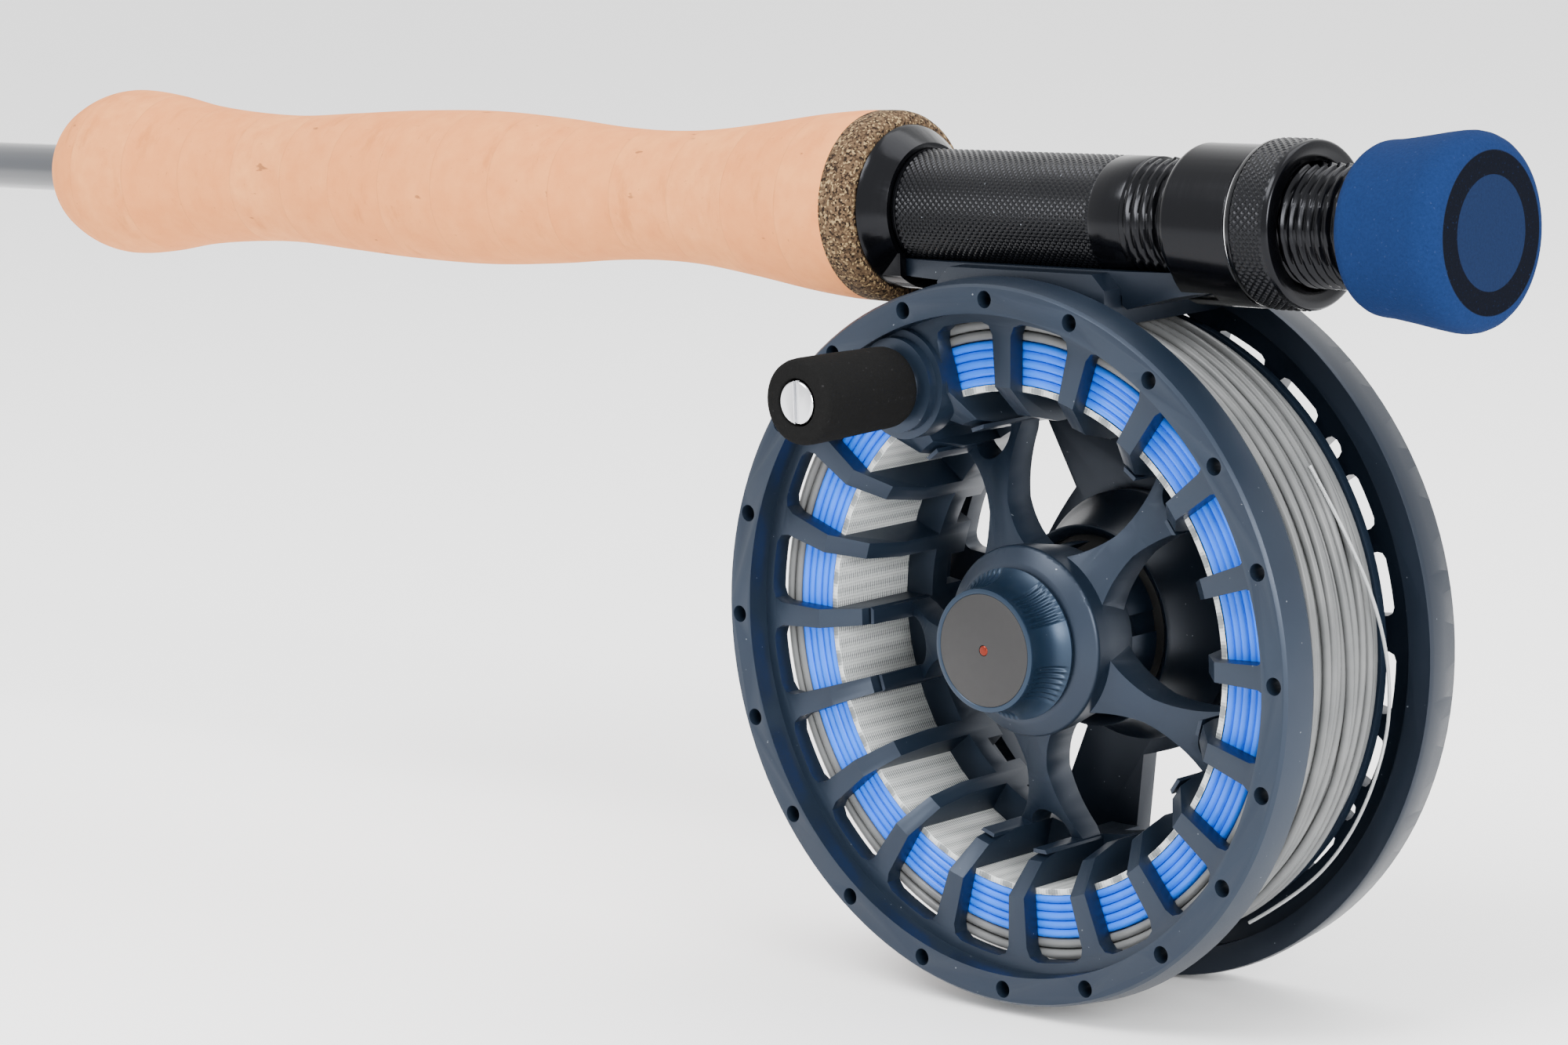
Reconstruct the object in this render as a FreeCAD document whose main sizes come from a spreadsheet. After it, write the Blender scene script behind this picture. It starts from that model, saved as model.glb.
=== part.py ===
import FreeCAD, Part

import math
import os
import re

import Sketcher

# Butt section of a four-piece fly rod with a large-arbor fly reel on its seat.
# +X runs along the rod from the tip to the butt, +Z is up and the reel hangs
# below the rod with its handle side facing -Y. The origin is the centre of the
# flat end face of the fighting butt. All sizes are in millimetres.

SIZES = {
    # rod: stations are measured along X from the butt face, so they are negative
    "spigot_x": -700.0,
    "spigot_rad": 2.55,
    "spigot_plug": 60.0,
    "plug_rad": 2.0,
    "blank_x": -652.0,
    "blank_end": -8.0,
    "blank_tip_rad": 3.45,
    "blank_slope": 0.0019,
    "blank_wall": 0.9,
    "guide_x": -585.0,
    "guide_drop": 13.4,
    "guide_rad": 5.6,
    "guide_wire": 0.65,
    "guide_bore": 4.3,
    "guide_foot": 19.0,
    "keeper_x": -335.0,
    "keeper_span": 9.0,
    "keeper_wire": 0.45,
    "wrap_thick": 0.35,
    "check_x": -298.3,
    "grip_x": -295.3,
    "burl_x": -108.6,
    "hood_x": -103.4,
    "hood_mouth": -99.2,
    "hood_rad": 12.1,
    "hood_sleeve_rad": 11.2,
    "hood_sleeve": 6.6,
    "barrel_rad": 8.7,
    "barrel_bore": 6.9,
    "barrel_end": -17.7,
    "keyway_wide": 3.0,
    "keyway_deep": 1.0,
    "thread_x": -57.6,
    "slide_x": -48.2,
    "slide_len": 11.8,
    "slide_rad": 10.8,
    "bulge_rad": 9.2,
    "bulge_drop": 2.6,
    "slide_gap": 0.08,
    "ring_thick": 0.4,
    "nut_len": 7.5,
    "nut_rad": 11.85,
    "butt_x": -17.7,
    "butt_rad": 13.65,
    "inlay_rad": 11.1,
    "inlay_deep": 0.8,
    # reel: stations are measured along Y from the front face of the spool rim
    "reel_x": -74.0,
    "reel_y": -18.0,
    "reel_z": -60.3,
    "spoke_turn": 116.6,
    "rim_rad": 52.6,
    "rim_face_rad": 51.6,
    "rim_inner_rad": 47.8,
    "rim_depth": 5.2,
    "rim_hole_rad": 1.25,
    "rim_hole_pcr": 49.9,
    "ledge": 3.5,
    "flange": 6.2,
    "window_rad": 46.3,
    "rib_half": 2.2,
    "rib_count": 20.0,
    "arbor_rad": 36.0,
    "arbor_bore": 31.0,
    "window_end": 22.0,
    "rear_flange": 29.0,
    "rear_flange_end": 30.4,
    "rear_flange_rad": 46.5,
    "notch_wide": 4.6,
    "notch_start": 25.2,
    "ring_end": 28.6,
    "spoke_y": 8.9,
    "spoke_lean": 0.46,
    "spoke_thick": 4.6,
    "hub_rad": 13.9,
    "hub_neck": 10.5,
    "hub_end": 23.4,
    "clutch_rad": 9.0,
    "clutch_start": 12.6,
    "bearing_rad": 6.0,
    "bearing_start": 8.4,
    "sleeve_rad": 6.0,
    "spindle_rad": 3.0,
    "run_gap": 0.04,
    "cap_front": -2.2,
    "cap_rad": 8.9,
    "cap_skirt": 4.6,
    "cap_skirt_rad": 11.0,
    "cap_stem_rad": 4.0,
    "cap_disc_rad": 8.15,
    "handle_pcr": 40.8,
    "pad_rad": 8.0,
    "pad_y": 1.0,
    "grip_len": 19.6,
    "grip_front_rad": 6.2,
    "grip_rear_rad": 5.9,
    "post_rad": 2.4,
    "post_head_rad": 3.15,
    "backing_rad": 36.9,
    "running_rad": 43.3,
    "head_rad": 46.2,
    "head_crown": 47.1,
    "pack_gap": 0.15,
    "ring_front": 30.7,
    "ring_rear": 38.3,
    "ring_rad": 53.7,
    "ring_bore": 50.0,
    "plate_front": 33.7,
    "plate_rear": 36.9,
    "plate_bore": 15.4,
    "frame_turn": 109.3,
    "slot_out": 45.7,
    "slot_in": 37.8,
    "bridge_left": -15.0,
    "bridge_right": 16.0,
    "bridge_front": 7.5,
    "bridge_top": 53.2,
    "bridge_clear": 48.5,
    "foot_left": -32.0,
    "foot_right": 31.0,
    "foot_half": 7.0,
    "foot_tip_half": 4.75,
    "foot_top": -6.9,
    "screw_x": 10.5,
    "tower_front": 21.0,
    "tower_rad": 15.3,
    "tower_bore": 13.2,
    "pin_pcr": 7.2,
    "pin_rad": 0.8,
    "tower_wall": 34.6,
    "boss_end": 40.4,
    "boss_rad": 9.0,
    "knob_front": 37.5,
    "knob_rear": 46.4,
    "knob_rad": 13.8,
    "disc_rad": 12.2,
}

V = FreeCAD.Vector
doc = FreeCAD.newDocument("fly_rod_and_reel")
sheet = doc.addObject("Spreadsheet::Sheet", "dim")
parts = []


def fill_sheet():
    """Write one named cell per driving size."""
    for row, (alias, value) in enumerate(SIZES.items(), start=1):
        sheet.set(f"A{row}", alias)
        sheet.set(f"B{row}", str(value))
        sheet.setAlias(f"B{row}", alias)
    doc.recompute()


def bound(text):
    """The expression with each size name pointing at its cell."""
    return re.sub(r"[A-Za-z_]\w*", lambda m: "dim." + m[0] if m[0] in SIZES else m[0], str(text))


def value(text):
    """The number that an expression gives now."""
    return float(sheet.evalExpression(bound(text)))


def is_plain(text):
    """True for a bare number, which needs no cell."""
    return not re.search(r"[A-Za-z_]", str(text))


def polar(radius, degrees):
    """A point given by radius and angle, as two expressions."""
    return (f"({radius})*cos({degrees})", f"({radius})*sin({degrees})")


def blank_rad(station):
    """The blank's outer radius at a station along the rod."""
    return f"(blank_tip_rad+(({station})-blank_x)*blank_slope)"


# ---------------------------------------------------------------- sketches

def plane_of(body, role):
    """The body's own origin plane."""
    for feature in body.Origin.OriginFeatures:
        if feature.Role == role:
            return feature
    raise RuntimeError(role)


def new_body(label):
    """An empty body that becomes one node."""
    body = doc.addObject("PartDesign::Body", label)
    body.Label = label
    parts.append(body)
    return body


def new_sketch(body, plane="XY_Plane", lift=0):
    """A sketch on an origin plane, moved along the plane's normal by lift."""
    sketch = body.newObject("Sketcher::SketchObject", "sketch")
    sketch.AttachmentSupport = (plane_of(body, plane), [""])
    sketch.MapMode = "FlatFace"
    if lift != 0:
        sketch.setExpression("AttachmentOffset.Base.z", bound(lift))
    return sketch


def pin_point(sketch, geo, end, point):
    """Fix one end of a sketch element at a point given by two expressions."""
    for kind, text in zip(("DistanceX", "DistanceY"), point):
        index = sketch.addConstraint(Sketcher.Constraint(kind, -1, 1, geo, end, value(text)))
        if not is_plain(text):
            sketch.setExpression(f"Constraints[{index}]", bound(text))


def at(point):
    return V(value(point[0]), value(point[1]), 0)


def outline(sketch, items):
    """A closed outline. An item is a point, or ("arc", point on the arc), which
    bends the side between the points before and after it. An arc may end with
    its radius."""
    corners = [item for item in items if item[0] != "arc"]
    bends = {}
    count = 0
    for item in items:
        if item[0] == "arc":
            bends[count - 1] = item[1:]
        else:
            count += 1
    for index, start in enumerate(corners):
        end = corners[(index + 1) % len(corners)]
        first, last = at(start), at(end)
        if index in bends:
            middle = at(bends[index][0])
            clockwise = (middle - first).cross(last - first).z < 0
            ends = (last, first) if clockwise else (first, last)
            geo = sketch.addGeometry(Part.Arc(ends[0], middle, ends[1]))
            pin_point(sketch, geo, 2 if clockwise else 1, start)
            pin_point(sketch, geo, 1 if clockwise else 2, end)
            if len(bends[index]) > 1:
                pin_radius(sketch, geo, bends[index][1])
        else:
            geo = sketch.addGeometry(Part.LineSegment(first, last))
            pin_point(sketch, geo, 1, start)
            pin_point(sketch, geo, 2, end)
    return sketch


def pin_radius(sketch, geo, radius):
    """Fix the radius of a circle or an arc."""
    index = sketch.addConstraint(Sketcher.Constraint("Radius", geo, value(radius)))
    if not is_plain(radius):
        sketch.setExpression(f"Constraints[{index}]", bound(radius))


def ring_outline(sketch, centre, radius):
    """A circle with its centre and radius bound."""
    geo = sketch.addGeometry(Part.Circle(at(centre), V(0, 0, 1), value(radius)))
    pin_point(sketch, geo, 3, centre)
    pin_radius(sketch, geo, radius)
    return sketch


# ---------------------------------------------------------------- features

def cut_checked(body, feature, before):
    """A cut has to remove something."""
    doc.recompute()
    if body.Shape.Volume > before - 1e-3:
        raise RuntimeError(f"{body.Label}: {feature.Name} cuts nothing")
    return feature


def turn(body, sketch, about, cut=False):
    """Revolve a sketch all the way round one of its own axes."""
    before = body.Shape.Volume if cut else 0
    kind = "PartDesign::Groove" if cut else "PartDesign::Revolution"
    feature = body.newObject(kind, "turned")
    feature.Profile = sketch
    feature.ReferenceAxis = (sketch, [about])
    feature.Angle = 360
    if cut:
        return cut_checked(body, feature, before)
    doc.recompute()
    return feature


def raise_pad(body, sketch, length, back=False, both=False):
    """Extrude a sketch. back goes against the sketch's normal."""
    feature = body.newObject("PartDesign::Pad", "raised")
    feature.Profile = sketch
    feature.setExpression("Length", bound(length))
    feature.Reversed = back
    feature.Midplane = both
    doc.recompute()
    return feature


def pocket(body, sketch, length, back=False, both=False):
    """Cut with a sketch. back cuts along the sketch's normal."""
    before = body.Shape.Volume
    feature = body.newObject("PartDesign::Pocket", "cut")
    feature.Profile = sketch
    feature.setExpression("Length", bound(length))
    feature.Reversed = back
    feature.Midplane = both
    return cut_checked(body, feature, before)


def around(body, features, count, sweep=360, plane="XY_Plane", axis="V_Axis"):
    """Repeat features round an axis of a sketch lying on an origin plane."""
    pattern = body.newObject("PartDesign::PolarPattern", "repeated")
    pattern.Originals = features
    pattern.Axis = (axis_sketch(body, plane), [axis])
    pattern.Angle = sweep
    pattern.Occurrences = count
    body.Tip = pattern
    doc.recompute()
    return pattern


def axis_sketch(body, plane):
    """A small sketch whose axes carry the patterns of a body."""
    for item in body.Group:
        if item.Name.startswith("axes"):
            return item
    sketch = body.newObject("Sketcher::SketchObject", "axes")
    sketch.AttachmentSupport = (plane_of(body, plane), [""])
    sketch.MapMode = "FlatFace"
    sketch.addGeometry(Part.LineSegment(V(0, 0, 0), V(0, 1, 0)))
    doc.recompute()
    return sketch


def lathe(label, points, axis="X"):
    """A turned piece. Points are (station, radius) along the axis."""
    body = new_body(label)
    lathe_more(body, points, axis)
    return body


def flip(points):
    """Swap station and radius, for a piece turned about Y."""
    out = []
    for point in points:
        if point[0] == "arc":
            out.append(("arc", (point[1][1], point[1][0])) + tuple(point[2:]))
        else:
            out.append((point[1], point[0]))
    return out


def lathe_more(body, points, axis="X", cut=False):
    """One more turned feature on a body."""
    if axis == "X":
        return turn(body, outline(new_sketch(body), points), "H_Axis", cut)
    return turn(body, outline(new_sketch(body), flip(points)), "V_Axis", cut)


def tube(x0, x1, inner, outer):
    """Outline of a plain ring between two stations."""
    return [(x0, inner), (x1, inner), (x1, outer), (x0, outer)]


def place(body, turn_deg=None):
    """Put a reel piece at the reel's axis, with its pattern turned about Y."""
    for axis, name in (("x", "reel_x"), ("y", "reel_y"), ("z", "reel_z")):
        body.setExpression(f"Placement.Base.{axis}", bound(name))
    if turn_deg is not None:
        body.Placement.Rotation = FreeCAD.Rotation(V(0, 1, 0), -value(turn_deg))
    return body


def reel_lathe(label, points, turn_deg=None):
    return place(lathe(label, points, "Y"), turn_deg)


def loose_shape(label, shape):
    """A piece that is a group of solids or a swept wire."""
    item = doc.addObject("Part::Feature", label)
    item.Label = label
    item.Shape = shape
    parts.append(item)
    return item


# ---------------------------------------------------------------- wire and group shapes

def wire_run(points, radius):
    """A bent round wire with ball corners."""
    shape = None
    for start, end in zip(points, points[1:]):
        run = end - start
        piece = Part.makeCylinder(radius, run.Length, start, run)
        ball = Part.makeSphere(radius * 1.03, end)
        shape = piece.fuse(ball) if shape is None else shape.fuse(piece).fuse(ball)
    return shape


def turned_solid(points, centre=V(0, 0, 0), axis=V(1, 0, 0)):
    """A turned solid for a group. Points are (station, radius) numbers."""
    side = V(0, 0, 1) if abs(axis.z) < 0.5 else V(1, 0, 0)
    corners = [centre + axis * station + side * radius for station, radius in points]
    face = Part.Face(Part.makePolygon(corners + [corners[0]]))
    return face.revolve(centre, axis, 360)


def blank_cone(x0, x1):
    """The blank's outer skin between two stations, as a solid to cut with."""
    length = x1 - x0
    first, last = value(blank_rad(x0)), value(blank_rad(x1))
    return Part.makeCone(first, last, length, V(x0, 0, 0), V(1, 0, 0))


def wrap_solid(x0, x1, thick):
    """A thread winding with tapered ends, as a solid."""
    ends = [(x0, 0.0), (x0 + 0.9, thick), (x1 - 0.9, thick), (x1, 0.0)]
    points = [(x, value(blank_rad(x)) + up) for x, up in ends]
    return turned_solid(points)


def wrap(label, x0, x1):
    """A thread winding on the bare blank."""
    points = [(x0, blank_rad(x0)), (f"{x0}+0.8", blank_rad(f"{x0}+0.8") + "+wrap_thick"),
              (f"{x1}-0.8", blank_rad(f"{x1}-0.8") + "+wrap_thick"), (x1, blank_rad(x1))]
    return lathe(label, points)


# ---------------------------------------------------------------- rod

def blank_and_ferrule():
    plug = "blank_x+spigot_plug"
    lathe("blank", [("blank_x", "plug_rad"), ("blank_x", "blank_tip_rad"),
                    ("blank_end", blank_rad("blank_end")),
                    ("blank_end", blank_rad("blank_end") + "-blank_wall"),
                    (plug, blank_rad(plug) + "-blank_wall"), (plug, "plug_rad")])
    lathe("ferrule_spigot", [("spigot_x", 0), ("spigot_x", "spigot_rad-0.4"),
                             ("spigot_x+0.7", "spigot_rad"), ("blank_x", "spigot_rad"),
                             ("blank_x", "plug_rad"), (plug, "plug_rad"), (plug, 0)])
    wrap("ferrule_wrap", "blank_x+0.6", "blank_x+20")


def stripping_guide():
    """Wire frame with a bent leg each way, its ceramic ring and the two windings."""
    x, drop, wire = SIZES["guide_x"], SIZES["guide_drop"], SIZES["guide_wire"]
    radius, reach = SIZES["guide_rad"], SIZES["guide_foot"]
    skin = value(blank_rad("guide_x"))
    centre = V(x, 0, -drop)
    frame = Part.makeTorus(radius, wire, centre, V(1, 0, 0))
    feet = []
    for way in (-1, 1):
        near, far = x + way * (reach - 11), x + way * reach
        bar = Part.makeBox(11, 2.0, 0.95, V(min(near, far), -1.0, -skin - 0.75))
        bar = bar.cut(blank_cone(x - reach - 3, x + reach + 3))
        feet.append(bar)
        frame = frame.fuse(bar)
        for side in (-1, 1):
            spread = math.radians(38 if way < 0 else 62)
            hold = centre + V(0, side * radius * math.sin(spread), radius * math.cos(spread))
            heel = V(near + way * 1.2, side * 0.35, -skin - 0.62)
            frame = frame.fuse(wire_run([heel, V(near - way * 0.8, side * 0.6, -skin - 0.9), hold], wire))
    frame = frame.cut(blank_cone(x - reach - 3, x + reach + 3))
    eye = turned_solid([(-1.1, 4.55), (-0.5, SIZES["guide_bore"]), (0.5, SIZES["guide_bore"]),
                        (1.1, 4.55), (1.1, 5.25), (-1.1, 5.25)], centre)
    loose_shape("guide_frame", frame.cut(eye))
    loose_shape("guide_ring", eye)
    windings = []
    for way in (-1, 1):
        near, far = x + way * (reach - 9.6), x + way * (reach + 2)
        solid = wrap_solid(min(near, far), max(near, far), 0.95)
        windings.append(solid.cut(frame))
    loose_shape("guide_wraps", Part.makeCompound(windings))


def hook_keeper():
    """A small wire bail whose ends lie under two short windings."""
    x, span, wire = SIZES["keeper_x"], SIZES["keeper_span"], SIZES["keeper_wire"]
    skin = value(blank_rad("keeper_x")) + wire
    run = [V(x - span * 0.95, 0, -skin), V(x - span * 0.45, 0, -skin), V(x - span * 0.3, 0, -skin - 2.6),
           V(x, 0, -skin - 3.2), V(x + span * 0.3, 0, -skin - 2.6), V(x + span * 0.45, 0, -skin),
           V(x + span * 0.95, 0, -skin)]
    bail = wire_run(run, wire).cut(blank_cone(x - 15, x + 15))
    loose_shape("hook_keeper", bail)
    windings = []
    for way in (-1, 1):
        near, far = x + way * span * 0.52, x + way * span * 1.15
        solid = wrap_solid(min(near, far), max(near, far), 1.1)
        windings.append(solid.cut(bail))
    loose_shape("keeper_wraps", Part.makeCompound(windings))


def grip():
    """Trim ring, winding check, cork grip and the burl ring at its rear."""
    lathe("trim_ring", [("check_x-0.7", blank_rad("check_x-0.7")), ("check_x", blank_rad("check_x")),
                        ("check_x", 4.9), ("check_x-0.7", 4.9)])
    lathe("winding_check", [("check_x", blank_rad("check_x")), ("grip_x", blank_rad("grip_x")),
                            ("grip_x", 5.1), ("check_x+0.5", 5.1), ("check_x", 4.8)])
    hole = "hood_x-hood_sleeve"
    lathe("cork_grip", [
        ("grip_x", 5.2), ("arc", (-294, 8)), (-290, 11.5), ("arc", (-285, 13.4)), (-280, 14.0),
        ("arc", (-272, 13.3)), (-262, 11.8), ("arc", (-250, 10.8)), (-238, 10.5),
        ("arc", (-224, 11.2)), (-209, 11.9), ("arc", (-192, 12.2)), (-176, 11.4),
        ("arc", (-164, 10.3)), (-154, 10.0), ("arc", (-144, 10.3)), (-132, 11.6),
        ("arc", (-120, 13.2)), ("burl_x", 14.1), ("burl_x", "hood_sleeve_rad"),
        (hole, "hood_sleeve_rad"), (hole, blank_rad(hole)), ("grip_x", blank_rad("grip_x"))])
    lathe("burl_ring", [("burl_x", "hood_sleeve_rad"), ("burl_x", 14.1), ("hood_x-1.4", 14.1),
                        ("arc", ("hood_x-0.4", 13.7)), ("hood_x", 12.6), ("hood_x", "hood_sleeve_rad")])


def foot_lip(body, x0, length, half, outer, rim):
    """The part of a hood that reaches under the foot, on a section sketch."""
    sketch = new_sketch(body, "YZ_Plane", x0)
    outline(sketch, [(f"-{half}", -6.0), (half, -6.0), (half, f"-{outer}"),
                     ("arc", (0, f"-({rim})")), (f"-{half}", f"-{outer}")])
    raise_pad(body, sketch, length)


def foot_pocket(body, x0, length, floor):
    """The recess that takes one end of the reel foot."""
    sketch = new_sketch(body, "YZ_Plane", x0)
    half = "foot_tip_half+1.45"
    outline(sketch, [(f"-({half})", -5.0), (half, -5.0), (half, floor), (f"-({half})", floor)])
    pocket(body, sketch, length, back=True)


def fixed_hood():
    start = "hood_x-hood_sleeve"
    body = lathe("fixed_hood", [
        (start, "barrel_rad"), (start, "hood_sleeve_rad"), ("hood_x", "hood_sleeve_rad"),
        ("hood_x", "hood_rad-0.3"), ("hood_x+0.5", "hood_rad"), ("hood_x+1.1", "hood_rad-0.3"),
        ("hood_mouth", 9.5), ("hood_mouth", "barrel_rad")])
    foot_lip(body, "hood_x+0.6", "hood_mouth-hood_x-0.2", 7.4, 9.3, "hood_rad-0.2")
    lathe_more(body, tube("hood_x", "hood_mouth+1", 0, "barrel_rad"), cut=True)
    foot_pocket(body, "reel_x+foot_left-0.4", 12, -9.7)


def seat():
    """The threaded barrel with its keyway and the sleeve between it and the blank."""
    start = "hood_x-hood_sleeve"
    body = lathe("seat_barrel", [
        (start, "barrel_bore"), (start, "barrel_rad"), ("barrel_end-0.4", "barrel_rad"),
        ("barrel_end", "barrel_rad-0.4"), ("barrel_end", "barrel_bore")])
    sketch = new_sketch(body, "XY_Plane", "barrel_rad-keyway_deep")
    outline(sketch, [("thread_x", "-keyway_wide/2"), ("barrel_end+1", "-keyway_wide/2"),
                     ("barrel_end+1", "keyway_wide/2"), ("thread_x", "keyway_wide/2")])
    pocket(body, sketch, 3, back=True)
    lathe("seat_arbor", [(start, blank_rad(start)), ("barrel_end", blank_rad("barrel_end")),
                         ("barrel_end", "barrel_bore"), (start, "barrel_bore")])


def sliding_hood():
    end = "slide_x+slide_len"
    body = lathe("sliding_hood", [
        ("slide_x", 0), ("slide_x", "slide_rad-0.9"), ("arc", ("slide_x+0.35", "slide_rad-0.25")),
        ("slide_x+1.3", "slide_rad"), (end + "-0.4", "slide_rad"), (end, "slide_rad-0.4"), (end, 0)])
    sketch = new_sketch(body, "YZ_Plane", "slide_x+0.5")
    ring_outline(sketch, (0, "-bulge_drop"), "bulge_rad")
    raise_pad(body, sketch, "slide_len-0.5")
    lathe_more(body, tube("slide_x-1", end + "+1", 0, "barrel_rad+slide_gap"), cut=True)
    foot_pocket(body, "slide_x-1", "7", -10.5)
    lathe("nut_washer", tube(end, end + "+ring_thick", "barrel_rad+slide_gap", 10.9))
    first = end + "+ring_thick+0.1"
    last = first + "+nut_len"
    lathe("lock_nut", [
        (first, "barrel_rad+slide_gap"), (first, "nut_rad-0.6"), (first + "+0.6", "nut_rad"),
        (last + "-0.6", "nut_rad"), (last, "nut_rad-0.5"), (last, "barrel_rad+slide_gap")])


def butt():
    lathe("fighting_butt", [
        ("butt_x", blank_rad("butt_x")), ("butt_x", 10.8), ("arc", ("butt_x+0.3", 11.6)),
        ("butt_x+1.1", 11.95), (-14, 12.1), (-6.5, 13.2), ("arc", (-3.4, "butt_rad")),
        (-1.4, 13.25), ("arc", (-0.35, 12.5)), (0, 11.6), (0, "inlay_rad"),
        ("-inlay_deep", "inlay_rad"), ("-inlay_deep", 0), ("blank_end", 0),
        ("blank_end", blank_rad("blank_end"))])
    lathe("butt_inlay", tube("-inlay_deep", 0, 0, "inlay_rad"))


# ---------------------------------------------------------------- reel frame and foot

def reel_foot():
    left, right = "reel_x+foot_left", "reel_x+foot_right"
    body = new_body("reel_foot")
    sketch = new_sketch(body, "XZ_Plane")
    outline(sketch, [
        (left, "foot_top"), (left, -8.8), (f"{left}+2", -9.3), ("reel_x-14.6", -9.7),
        ("reel_x-14.6", -10.3), ("reel_x+bridge_right+0.3", -10.3), ("reel_x+bridge_right+0.3", -11.6),
        ("reel_x+bridge_right+1.2", -12.2), ("slide_x-1", -10.3), (f"{right}-1", -9.5),
        (right, -8.8), (right, "foot_top")])
    raise_pad(body, sketch, "2*foot_half", both=True)
    sketch = new_sketch(body, "XY_Plane")
    for way in (1, -1):
        for tip, waist in ((f"{left}-1", f"{left}+15"), (f"{right}+1", f"{right}-14")):
            outline(sketch, [(tip, f"{way}*foot_tip_half"), (waist, f"{way}*(foot_half+0.02)"),
                             (waist, f"{way}*(foot_half+2)"), (tip, f"{way}*(foot_half+2)")])
    pocket(body, sketch, 30, both=True)
    lathe_more(body, tube(f"{left}-2", f"{right}+2", 0, "barrel_rad"), cut=True)
    sketch = new_sketch(body, "XY_Plane", -11)
    for way in (1, -1):
        ring_outline(sketch, (f"reel_x+{way}*screw_x", 0), 1.3)
    pocket(body, sketch, 4, back=True)


def foot_screws():
    """Two screws that hold the foot down from inside the frame."""
    solids = []
    for way in (1, -1):
        base = V(SIZES["reel_x"] + way * SIZES["screw_x"], 0, -12.85)
        solid = turned_solid([(0, 0.9), (0, 2.2), (0.2, 2.4), (1.15, 2.4), (1.15, 1.3),
                              (3.7, 1.3), (3.7, 0), (0.8, 0), (0.8, 0.9)], base, V(0, 0, 1))
        solids.append(solid)
    loose_shape("foot_screws", Part.makeCompound(solids))


def sector(inner, outer, centre, half, corner=1.6):
    """A curved slot between two radii, centred on the origin, with bevelled corners."""
    turn_in = f"({corner})*57.3/({inner})"
    turn_out = f"({corner})*57.3/({outer})"
    low, high = f"({centre})-({half})", f"({centre})+({half})"
    return [
        polar(f"{inner}+{corner}", low), polar(f"{inner}+0.3*{corner}", f"{low}+0.3*{turn_in}"),
        polar(inner, f"{low}+{turn_in}"), ("arc", polar(inner, centre), inner),
        polar(inner, f"{high}-{turn_in}"), polar(f"{inner}+0.3*{corner}", f"{high}-0.3*{turn_in}"),
        polar(f"{inner}+{corner}", high),
        polar(f"{outer}-{corner}", high), polar(f"{outer}-0.3*{corner}", f"{high}-0.3*{turn_out}"),
        polar(outer, f"{high}-{turn_out}"), ("arc", polar(outer, centre), outer),
        polar(outer, f"{low}+{turn_out}"), polar(f"{outer}-0.3*{corner}", f"{low}+0.3*{turn_out}"),
        polar(f"{outer}-{corner}", low)]


def reel_frame():
    body = reel_lathe("reel_frame", [
        ("plate_front", "plate_bore"), ("plate_front", "ring_bore"), ("ring_front", "ring_bore"),
        ("ring_front", "ring_rad"), ("ring_front+0.8", "ring_rad+0.2"), ("ring_rear-1", "ring_rad-0.5"),
        ("ring_rear", "ring_rad-1.2"), ("ring_rear", "ring_rad-2.6"), ("plate_rear", "ring_bore"),
        ("plate_rear", "plate_bore")])
    sketch = new_sketch(body, "XZ_Plane", "-plate_front+1")
    for centre, half in ((0, 2.1), (11.2, 5.3), (-11.2, 5.3), (26.8, 5.9), (-26.8, 5.9)):
        outline(sketch, sector("slot_in", "slot_out", f"frame_turn+{centre}", half, 1.2))
    first = pocket(body, sketch, 8)
    sketch = new_sketch(body, "XZ_Plane", "-plate_front+1")
    outline(sketch, [
        polar(21.5, "frame_turn+15"), polar(33.6, "frame_turn+12.5"),
        ("arc", polar(35.2, "frame_turn+13.5")), polar(35.8, "frame_turn+16"),
        ("arc", polar(35.8, "frame_turn+36")), polar(35.8, "frame_turn+56"),
        ("arc", polar(35.2, "frame_turn+58.5")), polar(33.6, "frame_turn+59.5"),
        polar(21.5, "frame_turn+57"), ("arc", polar(20.5, "frame_turn+36"))])
    second = pocket(body, sketch, 8)
    around(body, [first, second], 5)
    sketch = new_sketch(body, "XZ_Plane", "-bridge_front")
    side = "sqrt(bridge_clear*bridge_clear-({0})*({0}))"
    outline(sketch, [
        ("bridge_left", side.format("bridge_left")), ("arc", (0, "bridge_clear")),
        ("bridge_right", side.format("bridge_right")), ("bridge_right", "bridge_top-2.2"),
        ("bridge_right-2.2", "bridge_top"), ("bridge_left+2.2", "bridge_top"),
        ("bridge_left", "bridge_top-2.2")])
    raise_pad(body, sketch, "ring_rear-bridge_front-1.2", back=True)
    sketch = new_sketch(body, "YZ_Plane")
    outline(sketch, [
        ("-reel_y-foot_half", "-reel_z-10.3"), ("-reel_y+foot_half", "-reel_z-10.3"),
        ("-reel_y+foot_half", "ring_rad+1"), ("-reel_y-foot_half", "ring_rad+1")])
    pocket(body, sketch, 60, both=True)
    sketch = new_sketch(body, "XY_Plane", "-reel_z-10.3")
    for way in (1, -1):
        ring_outline(sketch, (f"{way}*screw_x", "-reel_y"), 1.3)
    pocket(body, sketch, 6)
    sketch = new_sketch(body, "XY_Plane", "-reel_z-11.7")
    for way in (1, -1):
        ring_outline(sketch, (f"{way}*screw_x", "-reel_y"), 2.45)
    pocket(body, sketch, 6)


# ---------------------------------------------------------------- drag

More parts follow.
